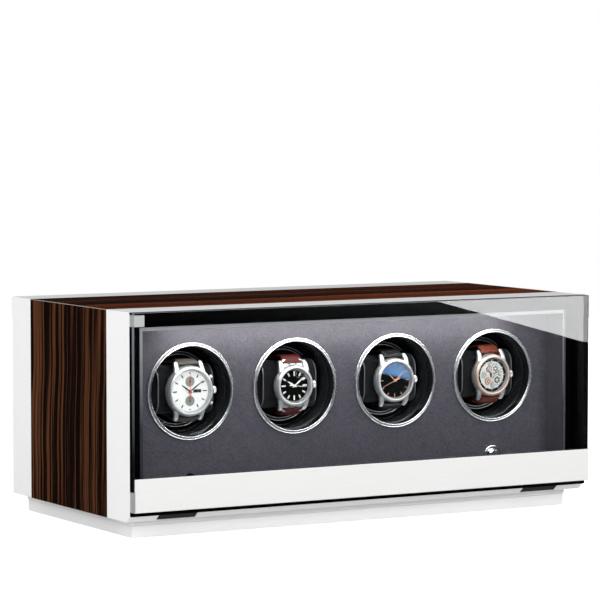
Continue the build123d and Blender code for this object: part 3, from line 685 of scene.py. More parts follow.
def rounded_loop(half_v: float, half_w: float, corner: float, count: int = 96) -> np.ndarray:
    """Returns evenly spaced (v, w) points round a rectangle with rounded corners.

    The outline is the rectangle drawn in by the corner radius, then pushed out by that radius.
    """
    turn = np.linspace(0, 2 * np.pi, 4 * count, endpoint=False)
    reach = np.stack([np.cos(turn), np.sin(turn)], axis=1)
    core = np.array([half_v - corner, half_w - corner])
    span = np.array([half_v, half_w])
    ray = span * reach / np.max(np.abs(reach), axis=1, keepdims=True)
    inner = np.clip(ray, -core, core)
    out = ray - inner
    length = np.linalg.norm(out, axis=1, keepdims=True)
    dense = inner + corner * out / np.maximum(length, 1e-9)
    steps = np.linalg.norm(np.roll(dense, -1, axis=0) - dense, axis=1)
    along = np.concatenate([[0], np.cumsum(steps)])
    looped = np.vstack([dense, dense[:1]])
    even = np.linspace(0, along[-1], count, endpoint=False)
    return np.stack([np.interp(even, along, looped[:, k]) for k in (0, 1)], axis=1)


def place_on(piece: bpy.types.Object, body: str, slot: str, *stands_for: str) -> None:
    """Rides a finished piece on a body, and hides the CAD nodes that it stands for."""
    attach(piece, body)
    if stands_for:
        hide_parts(*stands_for)
    LOG.info("%s: %d faces", piece.name, len(piece.data.polygons))


# ---- Cabinet and door ----
@dataclass
class Cabinet:
    """The cabinet, its plinth, its lining and what is fixed in it. Sizes are in millimetres."""

    highlight_width: float = 0.4
    highlight_proud: float = 0.1
    tape: float = 3.0
    tape_right: float = 1.0

    def make(self) -> None:
        """Dresses every fixed node, and adds the painted highlights along the veneer's corners and the lining's tape,
        whose pale tone is a painted highlight.
        """
        dress(WHITE_LACQUER, "front_frame", "rear_frame")
        dress(PLINTH_LACQUER_PAINTED_LIGHT, "plinth_cap", "plinth")
        dress(MACASSAR, "veneered_body")
        dress(BLACK_SATIN, "fascia")
        dress(PANEL_SUEDE, "display_liner", "display_panel")
        dress(OPAL, "led_diffuser")
        dress(BOARD, "led_strip", "control_board")
        dress(RUBBER, "feet", "bevel_pads", "drive_belts")
        dress(FINE_BLACK, "back_panel", "power_jack", "gear_motors", "catch_magnet")
        dress(ZINC, "back_screws", "module_screws", "rotor_bearings")
        dress(SATIN_CHROME, "hinge_bracket_lower", "hinge_bracket_upper")
        self.corner_painted_highlights()
        self.painted_tape_highlight()

    def corner_painted_highlights(self) -> None:
        """Lays a pale line along both long upper corners, a painted highlight of the lit corner edge: a thin angle that
        stands barely proud of the veneer.
        """
        low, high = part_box("veneered_body")
        back = 0.2 - (high[1] - low[1]) / MM
        wide, proud = self.highlight_width, self.highlight_proud
        corner = [(-proud, -wide), (proud, -wide), (wide, -proud), (wide, proud), (-proud, proud)]
        left = Seat(low[0], low[1], high[2]).prism(corner, back, -0.2)
        right = Seat(high[0], low[1], high[2]).prism([(-u, v) for u, v in corner], back, -0.2)
        place_on(build("corner_painted_highlights", [left, right], CORNER_HIGHLIGHT), "cabinet", "macassar_veneer")

    def painted_tape_highlight(self) -> None:
        """Lays a tape along the lining's front edge, along the top and down both ends, its pale tone a painted
        highlight of the lit edge.
        """
        middle, (u, _, v) = middle_of("display_liner"), half_size("display_liner")
        seat = Seat(middle[0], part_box("display_liner")[0][1], middle[2])
        wide = self.tape
        strips = [rectangle(-u, wide - u, -v, v), rectangle(wide - u, u - wide, v - wide, v)]
        strips.append(rectangle(u - wide, u - wide + self.tape_right, -v, v))
        tape = [seat.prism(strip, 0.01, 0.1) for strip in strips]
        place_on(build("liner_painted_highlight_tape", tape, TAPE_PAINTED_HIGHLIGHT), "cabinet", "charcoal_suede")


@dataclass
class Door:
    """The glass door with its brushed rail and hinge clamps. Sizes are in millimetres."""

    edge: float = 0.06
    border: float = 3.2
    top_border: float = 1.2
    dark_end_depth: float = 0.02

    def make(self) -> None:
        """Dresses the door's nodes, and adds the pane's ground edges, painted paler towards the top as light from
        above, the enamel border behind it, and a black sheet on the pane's right end face, a painted dark reflection.
        """
        dress(DOOR_GLASS, "door_glass")
        dress(RAIL_ALUMINIUM, "door_rail")
        dress(SATIN_CHROME, "door_clamp", "door_hinge_block")
        dress(ZINC, "door_strike")
        middle, (u, w, v) = middle_of("door_glass"), half_size("door_glass")
        seat = Seat(middle[0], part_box("door_glass")[1][1], middle[2])
        # Ground edges on the pane's left end and top: a painted fade from dark below to pale grey above, light from
        # above.
        ground = (rectangle(-u - self.edge, 0.1 - u, -v, v), rectangle(-u, u, v - 0.1, v + self.edge))
        edges = [seat.prism(outline, 0.05, 2 * w - 0.05) for outline in ground]
        place_on(build("pane_edges_painted_light", edges, GROUND_EDGE_PAINTED_LIGHT), "door", "clear_glass")
        behind = (rectangle(u - self.border, u, -v, v), rectangle(-u, u, v - self.top_border, v))
        prints = [seat.prism(outline, -0.03, -0.01) for outline in behind]
        # A thin black sheet over the pane's right end face: a painted dark reflection, where the glass end mirrors the
        # dark inside.
        prints.append(seat.prism(rectangle(u, u + self.dark_end_depth, -v, v), 0.0, 2 * w - 0.02))
        place_on(build("enamel_border", prints, ENAMEL), "door", "clear_glass")


@dataclass
class Module:
    """One winding module: bezel ring, ribbed mouth, cup, rotor and pulleys. Sizes are in millimetres."""

    number: int
    outer: float = 42.0
    groove: Range = (39.95, 40.85)
    groove_floor: float = 0.9
    groove_lining: float = 1.5
    mouth: float = 38.5
    roll: Range = (0.66, 0.9)
    facets: int = 360
    ribs: int = 180
    rib_depth: float = 0.35
    rib_band: Range = (7.0, 21.0)
    sleeve_wall: Range = (38.1, 38.46)
    shelf: Range = (29.4, 35.0)
    shelf_rolls: Range = (30.0, 32.3)
    shelf_roll: float = 0.55
    shelf_reach: float = 42.0

    def make(self) -> None:
        """Dresses the module's nodes, and makes the bezel's stepped profile and the ribbed sleeve."""
        n = self.number
        dress(GLOSS_BLACK, f"module_housing_{n}", f"rotor_cup_{n}")
        dress(FINE_BLACK, f"rotor_pulley_{n}", f"motor_pulley_{n}")
        middle = middle_of(f"bezel_ring_{n}")
        seat = Seat(middle[0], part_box("display_panel")[0][1], middle[2])
        place_on(self.bezel(seat), "cabinet", "polished_chrome", f"bezel_ring_{n}")
        place_on(self.bezel_groove(seat), "cabinet", "black_gloss")
        place_on(self.sleeve(seat), "cabinet", "black_gloss")
        self.shelves(seat)

    def shelves(self, seat: Seat) -> None:
        """Adds two curved shelves in the rotor's mouth, above and below the cushion, each with two rolled edges,
        painted grey as highlights on the black moulding.
        """
        rim = (seat.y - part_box(f"rotor_cup_{self.number}")[0][1]) / MM
        inner, outer = self.shelf
        front = rim - 1.6
        section = [(inner, front), (outer - 2.2, front), (outer, rim - 4.0), (outer, rim - 5.5), (inner, rim - 2.6)]
        turn = np.linspace(0, 2 * np.pi, 10, endpoint=False)
        size = (self.shelf_roll, self.shelf_roll)
        rolls = [arc_points((radius, rim - 1.5), size, turn) for radius in self.shelf_rolls]
        spans = [(heading - self.shelf_reach, heading + self.shelf_reach) for heading in (90.0, 270.0)]
        shelves = [seat.turned(section, 40, span=span) for span in spans]
        edges = [seat.turned(roll, 48, span=span) for span in spans for roll in rolls]
        body = f"rotor_{self.number}"
        place_on(build(f"rotor_shelves_{self.number}", shelves, GLOSS_BLACK, 50), body, "black_gloss")
        place_on(build(f"rotor_rolls_{self.number}", edges, LIP_PAINTED_HIGHLIGHT, 50), body, "black_gloss")

    def bezel(self, seat: Seat) -> bpy.types.Object:
        """The ring's section: a rounded outer step, a narrow groove, and an inner roll that dips into the mouth."""
        inner, outer, floor = *self.groove, self.groove_floor
        step = arc_points((self.outer - 0.8, 1.0), (0.8, 0.9), np.linspace(0, np.pi / 2, 7))
        groove = [(outer + 0.1, 1.8), (outer, floor), (inner, floor), (inner - 0.1, 2.0)]
        roll = arc_points((inner - 0.78, 2.0), self.roll, np.linspace(0, np.pi, 9))
        mouth = [(self.mouth, 1.8), (self.mouth, -6.0), (self.mouth + 1.5, -6.0), (self.mouth + 1.5, 0.0)]
        section = step + groove + roll + mouth + [(self.outer, 0.0)]
        return build(f"chrome_bezel_{self.number}", [seat.turned(section, self.facets)], BEZEL_CHROME, 50)

    def bezel_groove(self, seat: Seat) -> bpy.types.Object:
        """A grey lining that fills the lower part of the ring's groove."""
        inner, outer = self.groove
        low, high = self.groove_floor + 0.05, self.groove_lining
        section = [(inner + 0.02, low), (inner, high), (outer + 0.03, high), (outer + 0.01, low)]
        return build(f"bezel_groove_{self.number}", [seat.turned(section, self.facets)], GROOVE_GREY, 50)

    def sleeve(self, seat: Seat) -> bpy.types.Object:
        """A thin sleeve whose radius ripples round the turn, one ripple for each rib; its black moulding is given a
        grey tone, painted light so the ribs show lit.
        """
        front, back = (-w for w in self.rib_band)
        inside, outside = self.sleeve_wall

        def ripple(angle: np.ndarray) -> np.ndarray:
            """Returns how far the inside stands in at an angle; the outside keeps its radius."""
            wave = -self.rib_depth * (0.5 + 0.5 * np.cos(self.ribs * angle))
            return wave * np.array([[1.0, 1.0, 0.0, 0.0]])

        profile = [(inside, front), (inside, back), (outside, back), (outside, front)]
        sleeve = seat.turned(profile, self.ribs * 4, flute=ripple)
        return build(f"ribbed_sleeve_{self.number}", [sleeve], RIBBED_PAINTED_LIGHT, 60)


class Markers(Enum):
    """How the hours are marked.

    Half length and half width in millimetres, the half length at 12, 3, 6 and 9, and half of the hands' width.
    """

    APPLIED = (1.5, 0.42, 1.9, 0.6)
    LUMED = (1.6, 0.6, 2.1, 0.75)
    FINE = (1.1, 0.22, 1.5, 0.36)


@dataclass
class Cushion:
    """A suede cushion that the watch is strapped round. Sizes are in millimetres."""

    number: int
    voxel: float = 2.2
    pressure: float = 4.0
    frames: int = 20
    most_swell: float = 0.9
    cup_radius: float = 34.2
    strap_half: float = 10.6
    waist: float = 0.03
    piping_radius: float = 0.5
    piping_inset: float = 1.7
    end_corner: float = 11.7

    def make(self, form: Optional[bpy.types.Mesh], seat: Seat) -> bpy.types.Mesh:
        """Makes the cushion and its piping.

        Args:
            form: The first cushion's shape about its own middle, or None to work it out.
            seat: The cushion's middle.

        Returns:
            The shape, for the next cushion.
        """
        shape = form or self.stuffed(seat)
        mesh = shape.copy()
        moved = self.coordinates(mesh) + np.array([seat.x, seat.y, seat.z])
        mesh.vertices.foreach_set("co", moved.ravel())
        mesh.materials.append(CUSHION_SUEDE.material())
        pad = add_object(f"suede_cushion_{self.number}", mesh)
        body = f"watch_holder_{self.number}"
        place_on(pad, body, "cushion_suede", f"cushion_{self.number}")
        place_on(self.piping(seat), body, "cushion_suede")
        return shape

    @staticmethod
    def coordinates(mesh: bpy.types.Mesh) -> np.ndarray:
        """Returns a mesh's vertices as an array."""
        flat = np.empty(len(mesh.vertices) * 3)
        mesh.vertices.foreach_get("co", flat)
        return flat.reshape(-1, 3)

    def stuffed(self, seat: Seat) -> bpy.types.Mesh:
        """Swells the CAD cushion as cloth under pressure, then draws it in where the strap holds it."""
        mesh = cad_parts[f"cushion_{self.number}"].data.copy()
        merge_doubles(mesh)
        mesh.materials.clear()
        middle = np.array([seat.x, seat.y, seat.z])
        mesh.vertices.foreach_set("co", ((self.coordinates(mesh) - middle) * 0.975).ravel())
        pad = add_object("cushion_form", mesh)
        remesh = pad.modifiers.new("even", "REMESH")
        remesh.mode = "VOXEL"
        remesh.voxel_size = self.voxel * MM
        start = self.applied(pad)
        cloth = pad.modifiers.new("cloth", "CLOTH")
        cloth.settings.use_pressure = True
        cloth.settings.uniform_pressure_force = self.pressure
        cloth.settings.effector_weights.gravity = 0.0
        for step in range(1, self.frames + 1):
            bpy.context.scene.frame_set(step)
        start = self.applied(pad)
        bpy.context.scene.frame_set(1)
        swell = self.coordinates(pad.data) - start
        length = np.linalg.norm(swell, axis=1, keepdims=True)
        shape = start + swell * np.minimum(1.0, self.most_swell * MM / np.maximum(length, 1e-9))
        pad.data.vertices.foreach_set("co", self.held(shape).ravel())
        smooth(pad.data)
        fine = pad.modifiers.new("fine", "SUBSURF")
        fine.levels = fine.render_levels = 1
        self.applied(pad)
        result = pad.data
        bpy.data.objects.remove(pad)
        return result

    def applied(self, pad: bpy.types.Object) -> np.ndarray:
        """Applies the pad's modifiers and returns the coordinates that it had before them, or its own if re-meshed."""
        before = self.coordinates(pad.data)
        view = bpy.context.evaluated_depsgraph_get()
        done = bpy.data.meshes.new_from_object(pad.evaluated_get(view))
        pad.modifiers.clear()
        pad.data = done
        return before if len(before) == len(done.vertices) else self.coordinates(done)

    def held(self, shape: np.ndarray) -> np.ndarray:
        """Draws the waist in under the strap, smoothly, and keeps the ends inside the cup's radius."""
        across = np.abs(shape[:, :1]) / MM
        waist = 1.0 - self.waist / (1.0 + np.exp((across - self.strap_half) * 1.6))
        tucked = shape * np.hstack([np.ones_like(waist), waist, waist])
        reach = np.linalg.norm(tucked[:, (0, 2)], axis=1, keepdims=True) / MM
        inside = np.minimum(1.0, self.cup_radius / np.maximum(reach, 1e-6))
        return tucked * np.hstack([inside, np.ones_like(inside), inside])

    def piping(self, seat: Seat) -> bpy.types.Object:
        """A corded seam round each end, pale grey as a painted highlight of the cushion's lit end edge: a small round
        section carried along the end's rounded outline.
        """
        half_u, half_w, half_v = half_size(f"cushion_{self.number}")
        loop = rounded_loop(half_v - 0.3, half_w - 0.3, self.end_corner)
        thick = self.piping_radius
        away = half_u - self.piping_inset
        rings = [seat.swept(loop, thick, thick, middle=side * away, sections=8) for side in (-1, 1)]
        return build(f"cushion_piping_painted_highlight_{self.number}", rings, PIPING_PAINTED_HIGHLIGHT, 60)


@dataclass
class Watch:
    """A wrist watch strapped round its cushion. Sizes are in millimetres, angles clockwise from 12 o'clock.

    Each wheel of an open movement has its middle's u and v, its radius and its count of teeth.
    """

    number: int
    radius: float
    dial: Finish
    bezel: Finish
    markers: Finish
    style: Markers
    hands: Finish
    strap: Finish
    thread: Finish
    times: tuple[float, float, float]
    second: Finish = WHITE_LUME
    chronograph: bool = False
    skeleton: bool = False
    end_links: bool = False
    half_strap: float = 10.0
    depth: float = 12.2
    rim: float = 3.5
    dial_w: float = 7.6
    register_away: float = 8.3
    register: float = 4.4
    steel_wheels: tuple = (
        (3.8, 5.6, 3.9, 44), (5.6, -4.6, 4.4, 52), (-7.8, 0.2, 2.6, 30),
        (-1.2, 9.4, 1.8, 22), (1.4, -9.4, 2.1, 24), (9.2, 1.0, 1.6, 20),
    )
    gilt_wheels: tuple = ((-3.4, 5.2, 2.1, 26), (-3.8, -5.6, 3.0, 34), (0.3, -0.2, 1.7, 22))
    seat: Seat = field(init=False)
    cushion_half: Range = field(init=False)
    dial_radius: float = field(init=False)

    def __post_init__(self) -> None:
        """Works out where the watch lies: its seat's front is at the crystal of its CAD stand-in."""
        cushion = f"cushion_{self.number}"
        middle, (_, half_w, half_v) = middle_of(cushion), half_size(cushion)
        crystal_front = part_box(f"watch_{self.number}")[0][1]
        self.seat = Seat(middle[0], crystal_front + self.depth * MM, middle[2])
        self.cushion_half = (half_v, half_w)
        self.dial_radius = self.radius - self.rim

    def make(self) -> None:
        """Builds the watch's pieces. The case stands for the CAD watch, and the others ride with it."""
        n = self.number
        steel, suede = "watch_steel", "cushion_suede"
        pieces = [
            ("case", self.case(), BRUSHED_STEEL, steel),
            ("bezel", [self.bezel_ring()], self.bezel, steel),
            ("crown", self.crown(), STEEL, steel),
            ("dial", [self.disc(self.dial_radius, 6.4, self.dial_w)], self.dial, steel),
            ("markers", self.hours(), self.markers, steel),
            ("hands", self.hour_and_minute(), self.hands, steel),
            ("second", self.second_hand(), self.second, steel),
            ("crystal", [self.crystal()], CRYSTAL, steel, 60),
            ("strap", [self.band()], self.strap, suede, 60),
            ("stitching", self.stitching(), self.thread, suede, 60),
        ]
        if self.chronograph:
            pieces.append(("subdials", self.subdials(), GREY_DIAL, steel))
            pieces.append(("small_hands", self.small_hands(), DARK_PRINT, steel))
        if self.skeleton:
            pieces.append(("gears", self.gears(0), BRIDGE_SILVER, steel))
            pieces.append(("gold_gears", self.gears(1), ROSE_GOLD, steel))
            pieces.append(("chapter", [self.chapter()], CHAPTER_BLUE, steel))
            pieces.append(("wells", self.wells(), WELL_PAINTED_SHADE, steel))
        for title, parts, finish, slot, *sharp in pieces:
            piece = build(f"watch_{title}_{n}", parts, finish, *sharp)
            place_on(piece, f"watch_holder_{n}", slot, *([f"watch_{n}"] if title == "case" else []))

    def disc(self, radius: float, low: float, high: float, at: Range = (0.0, 0.0)) -> Surface:
        """A flat disc with a slightly rounded rim."""
        profile = [(0, low), (radius, low), (radius, high - 0.1), (radius - 0.1, high), (0, high)]
        return self.seat.turned(profile, 96, at)

    def case(self) -> list[Surface]:
        """The case's body turned from its side profile, its rehaut, and four lugs that curve down to the strap."""
        r = self.radius
        body = [(0, 0.2), (r * 0.8, 0.2), (r * 0.88, 0.8), (r - 1.6, 2.2), (r - 0.5, 3.2), (r, 4.2), (r, 7.0)]
        body += [(r - 0.5, 7.8), (r - 1.5, 8.0), (r - 3.6, 8.0), (r - 3.6, 6.0), (0, 6.0)]
        rehaut = [(r - 3.4, 10.2), (r - 4.5, 7.7), (r - 4.2, 7.6), (r - 3.3, 8.2)]
        parts = [self.seat.turned(body, 128), self.seat.turned(rehaut, 96)]
        bend = np.linspace(0, 1, 12)
        v = r * 0.66 + (r * 0.34 + 2.6) * bend
        w = 6.2 - 3.4 * bend**2.2
        thick = 2.2 - 0.8 * bend**1.5
        half = 2.6 - 0.8 * bend
        for up in (-1, 1):
            path = np.stack([up * v, w], axis=1)
            for side in (-1, 1):
                middle = side * (self.half_strap + half)[:, None]
                parts.append(self.seat.swept(path, half, thick, middle, 14, closed=False))
            bar = up * (r + 2.2)
            outline = rectangle(-self.half_strap, self.half_strap, bar - 0.4, bar + 0.4)
            parts.append(self.seat.prism(outline, 2.2, 3.0, 0, 0.1))
        if self.end_links:
            for up in (-1, 1):
                path = np.stack([up * (r * 0.7 + (r * 0.3 + 3.6) * bend), 5.4 - 2.6 * bend**2], axis=1)
                for middle in (0.0, -6.7, 6.7):
                    parts.append(self.seat.swept(path, 3.1, 1.1, middle, 14, closed=False))
        return parts

    def bezel_ring(self) -> Surface:
        """A polished ring: a short wall, then a quarter roll in to the crystal."""
        r = self.radius
        roll = arc_points((r - 2.6, 9.0), (2.0, 1.9), np.linspace(0, np.pi * 0.6, 8))
        return self.seat.turned([(r - 0.6, 7.9)] + roll + [(r - 3.4, 10.2), (r - 3.5, 7.9)], 128)

    def crystal(self) -> Surface:
        """A shallow dome 0.9 mm thick, its rise falling off with the square of the radius."""
        edge = self.radius - 3.3
        radii = np.linspace(0, edge, 10)
        top = [(float(q), 11.9 - 0.9 * (q / edge) ** 2) for q in radii]
        return self.seat.turned(top + [(edge, 10.3), (0, 10.3)], 96)

    def crown(self) -> list[Surface]:
        """A fluted crown at 3 o'clock, and two pushers on a chronograph."""
        r = self.radius
        crown = [(0, r - 1.5), (1.5, r - 1.5), (1.5, r + 0.5), (2.7, r + 0.6), (3.0, r + 0.9), (3.0, r + 3.0)]
        crown += [(2.6, r + 3.4), (1.2, r + 3.6), (0, r + 3.6)]
        parts = [self.seat.stem(crown, 5.6, 0.0, 26, 0.14)]
        if self.chronograph:
            pusher = [(0, r - 2), (1.1, r - 2), (1.1, r + 1.0), (1.9, r + 1.2), (1.9, r + 2.6), (1.6, r + 2.9)]
            pusher.append((0, r + 3))
            parts += [self.seat.stem(pusher, 5.6, heading) for heading in (-28.0, 28.0)]
        return parts

    def hours(self) -> list[Surface]:
        """Twelve applied markers and sixty minute ticks."""
        half_length, half_width, long_length, _ = self.style.value
        edge = self.dial_radius - (1.6 if self.style is Markers.FINE else 2.3)
        w = self.dial_w
        parts = []
        for hour in range(12):
            half = long_length if hour % 3 == 0 else half_length
            if self.chronograph and hour in (0, 6):
                half = 0.6
            baton = rectangle(-half_width, half_width, edge - 2 * half, edge)
            parts.append(self.seat.prism(baton, w, w + 0.45, 30 * hour, 0.15))
        tick = rectangle(-0.08, 0.08, self.dial_radius - 1.5, self.dial_radius - 0.9)
        return parts + [self.seat.prism(tick, w, w + 0.06, 6 * minute) for minute in range(60)]

    def hand(self, length: float, half: float, tail: float, turn: float, low: float) -> Surface:
        """A hand: a narrow root, its widest part at two fifths of its length, and a pointed tip."""
        outline = [(-half * 0.5, -tail), (half * 0.5, -tail), (half * 0.6, 1.0), (half, length * 0.4)]
        outline += [(half * 0.35, length * 0.93), (0, length), (-half * 0.35, length * 0.93)]
        outline += [(-half, length * 0.4), (-half * 0.6, 1.0)]
        return self.seat.prism(outline, low, low + 0.22, turn, 0.18)

    def hour_and_minute(self) -> list[Surface]:
        """The hour and minute hands on their centre."""
        hour, minute, _ = self.times
        wide = self.style.value[3]
        return [
            self.hand(self.dial_radius * 0.55, wide * 1.15, 2.4, hour, self.dial_w + 0.7),
            self.hand(self.dial_radius * 0.82, wide, 2.4, minute, self.dial_w + 1.1),
            self.disc(1.0, self.dial_w + 0.3, self.dial_w + 1.5),
        ]

    def second_hand(self) -> list[Surface]:
        """A thin hand with a heavier tail, and its boss."""
        turn = self.times[2]
        tail = [(-0.55, -5.2), (0.55, -5.2), (0.4, -1.0), (-0.4, -1.0)]
        return [
            self.hand(self.dial_radius * 0.9, 0.22, 5.0, turn, self.dial_w + 1.5),
            self.seat.prism(tail, self.dial_w + 1.5, self.dial_w + 1.7, turn, 0.1),
            self.disc(0.8, self.dial_w + 1.4, self.dial_w + 1.9),
        ]

    def subdials(self) -> list[Surface]:
        """Two sunk registers with turned grooves, at 12 and 6 o'clock, and the frame of the date window."""
        away, size, w = self.register_away, self.register, self.dial_w
        groove = [(0.6 + 0.4 * k, w + (0.12 if k % 2 else 0.06)) for k in range(9)]
        ring = [(0, w + 0.02)] + groove + [(size - 0.2, w + 0.25), (size, w + 0.2), (size, w - 0.1), (0, w - 0.1)]
        parts = [self.seat.turned(ring, 64, (0.0, away * side)) for side in (1, -1)]
        return parts + [self.seat.prism(rectangle(3.2, 11.0, -1.5, 1.5), w, w + 0.2, 0, 0.1)]

    def small_hands(self) -> list[Surface]:
        """The registers' hands and the date's two dark openings."""
        w = self.dial_w + 0.3
        parts = []
        for middle in (self.register_away, -self.register_away):
            needle = [(-0.3, middle - 1.2), (0.3, middle - 1.2), (0.12, middle + 3.4), (-0.12, middle + 3.4)]
            parts.append(self.seat.prism(needle, w, w + 0.15))
            parts.append(self.disc(0.6, w, w + 0.25, (0.0, middle)))
        openings = (rectangle(3.7, 7.4, -1.05, 1.05), rectangle(7.9, 10.5, -1.05, 1.05))
        return parts + [self.seat.prism(opening, w - 0.1, w - 0.04) for opening in openings]

    def chapter(self) -> Surface:
        """A dark ring round the open movement."""
        outer, inner, w = self.dial_radius, self.dial_radius - 3.2, self.dial_w
        return self.seat.turned([(outer, w), (outer, w + 0.25), (inner, w + 0.25), (inner, w)], 96)

    def wells(self) -> list[Surface]:
        """The dark openings that the wheels turn in: dark brown discs, painted shade for each opening's depth."""
        w = self.dial_w
        return [
            self.disc(size + 0.5, w - 0.1, w + 0.03 + 0.01 * k, (u, v))
            for k, (u, v, size, _) in enumerate(self.steel_wheels + self.gilt_wheels)
        ]

    def gears(self, layer: int) -> list[Surface]:
        """Toothed wheels, the gilt ones in layer 1: each outline's radius steps with the teeth round the turn."""
        parts = []
        for k, (u, v, size, teeth) in enumerate(self.gilt_wheels if layer else self.steel_wheels):
            turn = np.linspace(0, 2 * np.pi, teeth * 4, endpoint=False)
            reach = size * (1.0 + 0.05 * np.sign(np.sin(teeth * turn)))
            w = self.dial_w + 0.2 + 0.3 * layer + 0.08 * k
            radii = np.stack([reach, reach, 0.75 * size + 0 * reach, 0.75 * size + 0 * reach], axis=1)
            heights = np.array([w, w + 0.2, w + 0.2, w])[None, :] + 0 * radii
            grid = self.seat.place(u + radii * np.cos(turn)[:, None], v + radii * np.sin(turn)[:, None], heights)
            parts.append(surface_arrays(grid, True, True))
            ring = [(size * 0.8, w), (size * 0.8, w + 0.35), (size * 0.7, w + 0.35), (size * 0.7, w)]
            parts.append(self.seat.turned(ring, 40, (u, v)))
            for arm in range(3):
                a = math.pi * arm / 3
                c, s = math.cos(a), math.sin(a)
                long, thin = size * 0.75, 0.22
                corners = rectangle(-long, long, -thin, thin)
                spoke = [(u + p * c - q * s, v + p * s + q * c) for p, q in corners]
                parts.append(self.seat.prism(spoke, w + 0.2, w + 0.42))
            parts.append(self.disc(size * 0.22, w, w + 0.6, (u, v)))
        return parts

    def run(self) -> np.ndarray:
        """The strap's middle line, from the upper lugs over the cushion and round its back to the lower lugs.

        The leather is stiff at the lugs, so it bows out past the cushion before it lies down on it.
        """
        r = self.radius
        half_v, depth = self.cushion_half[0] + 1.25, 2 * self.cushion_half[1]
        bow = max(r + 3.8, half_v + 3.0)
        half = [(r + 0.2, 4.6), (r + 2.2, 3.2), (bow - 0.4, 0.2), (bow + 0.2, -4.5), (bow - 0.6, -10.0)]
        half += [(half_v + 0.8, -17.0), (half_v + 0.1, -24.0), (half_v, -depth + 9.0), (half_v - 3.0, -depth + 1.5)]
        half += [(half_v - 9.0, -depth - 1.3)]
        half = np.array(half)
        path = np.concatenate([half, half[::-1] * (-1, 1)])
        for _ in range(4):
            near, far = path[:-1] * 0.75 + path[1:] * 0.25, path[:-1] * 0.25 + path[1:] * 0.75
            cut = np.stack([near, far], axis=1).reshape(-1, 2)
            path = np.concatenate([path[:1], cut, path[-1:]])
        gone = np.concatenate([[0.0], np.cumsum(np.linalg.norm(np.diff(path, axis=0), axis=1))])
        even = np.linspace(0, gone[-1], 220)
        return np.stack([np.interp(even, gone, path[:, k]) for k in (0, 1)], axis=1)

    def band(self) -> Surface:
        """The strap: thick and full width at the lugs, thinner and a sixth narrower behind the cushion."""
        path = self.run()
        far = np.clip(-path[:, 1] / (2 * self.cushion_half[1]), 0, 1)
        away = np.minimum(np.arange(len(path)), np.arange(len(path))[::-1]) / len(path)
        thick = 1.0 + 0.8 * np.clip(1 - away / 0.14, 0, 1)
        return self.seat.swept(path, self.half_strap - 0.15 - 1.6 * far, thick, sections=20, closed=False)

    def stitching(self) -> list[Surface]:
        """Two rows of stitches down the strap's edges."""
        path = self.run()
        return [self.seat.stitches(path[4:-4], 1.02, side * (self.half_strap - 2.4)) for side in (-1, 1)]


def watches() -> list[Watch]:
    """The four watches, from left to right."""
    return [
        Watch(1, 22.0, SILVER_DIAL, STEEL, DARK_PRINT, Markers.APPLIED, DARK_PRINT, GREY_HIDE, THREAD_GREY,
              (305.0, 55.0, 0.0), ORANGE, chronograph=True),
        Watch(2, 18.5, BLACK_DIAL, STEEL, WHITE_LUME, Markers.LUMED, WHITE_LUME, WINE_HIDE, THREAD_WINE,
              (300.0, 52.0, 97.0), WHITE_LUME, end_links=True),
        Watch(3, 19.8, DIAL_PAINTED_BLUE_REFLECTION, STEEL, ROSE_BATON, Markers.FINE, ROSE_BATON, BLACK_SCALE, THREAD_BLACK,
              (312.0, 50.0, 247.0), ROSE_BATON),
        Watch(4, 19.2, BRIDGE_SILVER, ROSE_GOLD, PALE_BATON, Markers.FINE, DARK_PRINT, BROWN_SCALE, THREAD_TAN,
              (318.0, 62.0, 180.0), STEEL, skeleton=True),
    ]


@dataclass
class Controls:
    """The direction selector and the light button."""

    def make(self) -> None:
        """Dresses the controls' nodes."""
        dress(CHROME, "selector_switch", "selector_knob")
        dress(GLOSS_BLACK, "button_sleeve", "light_button")


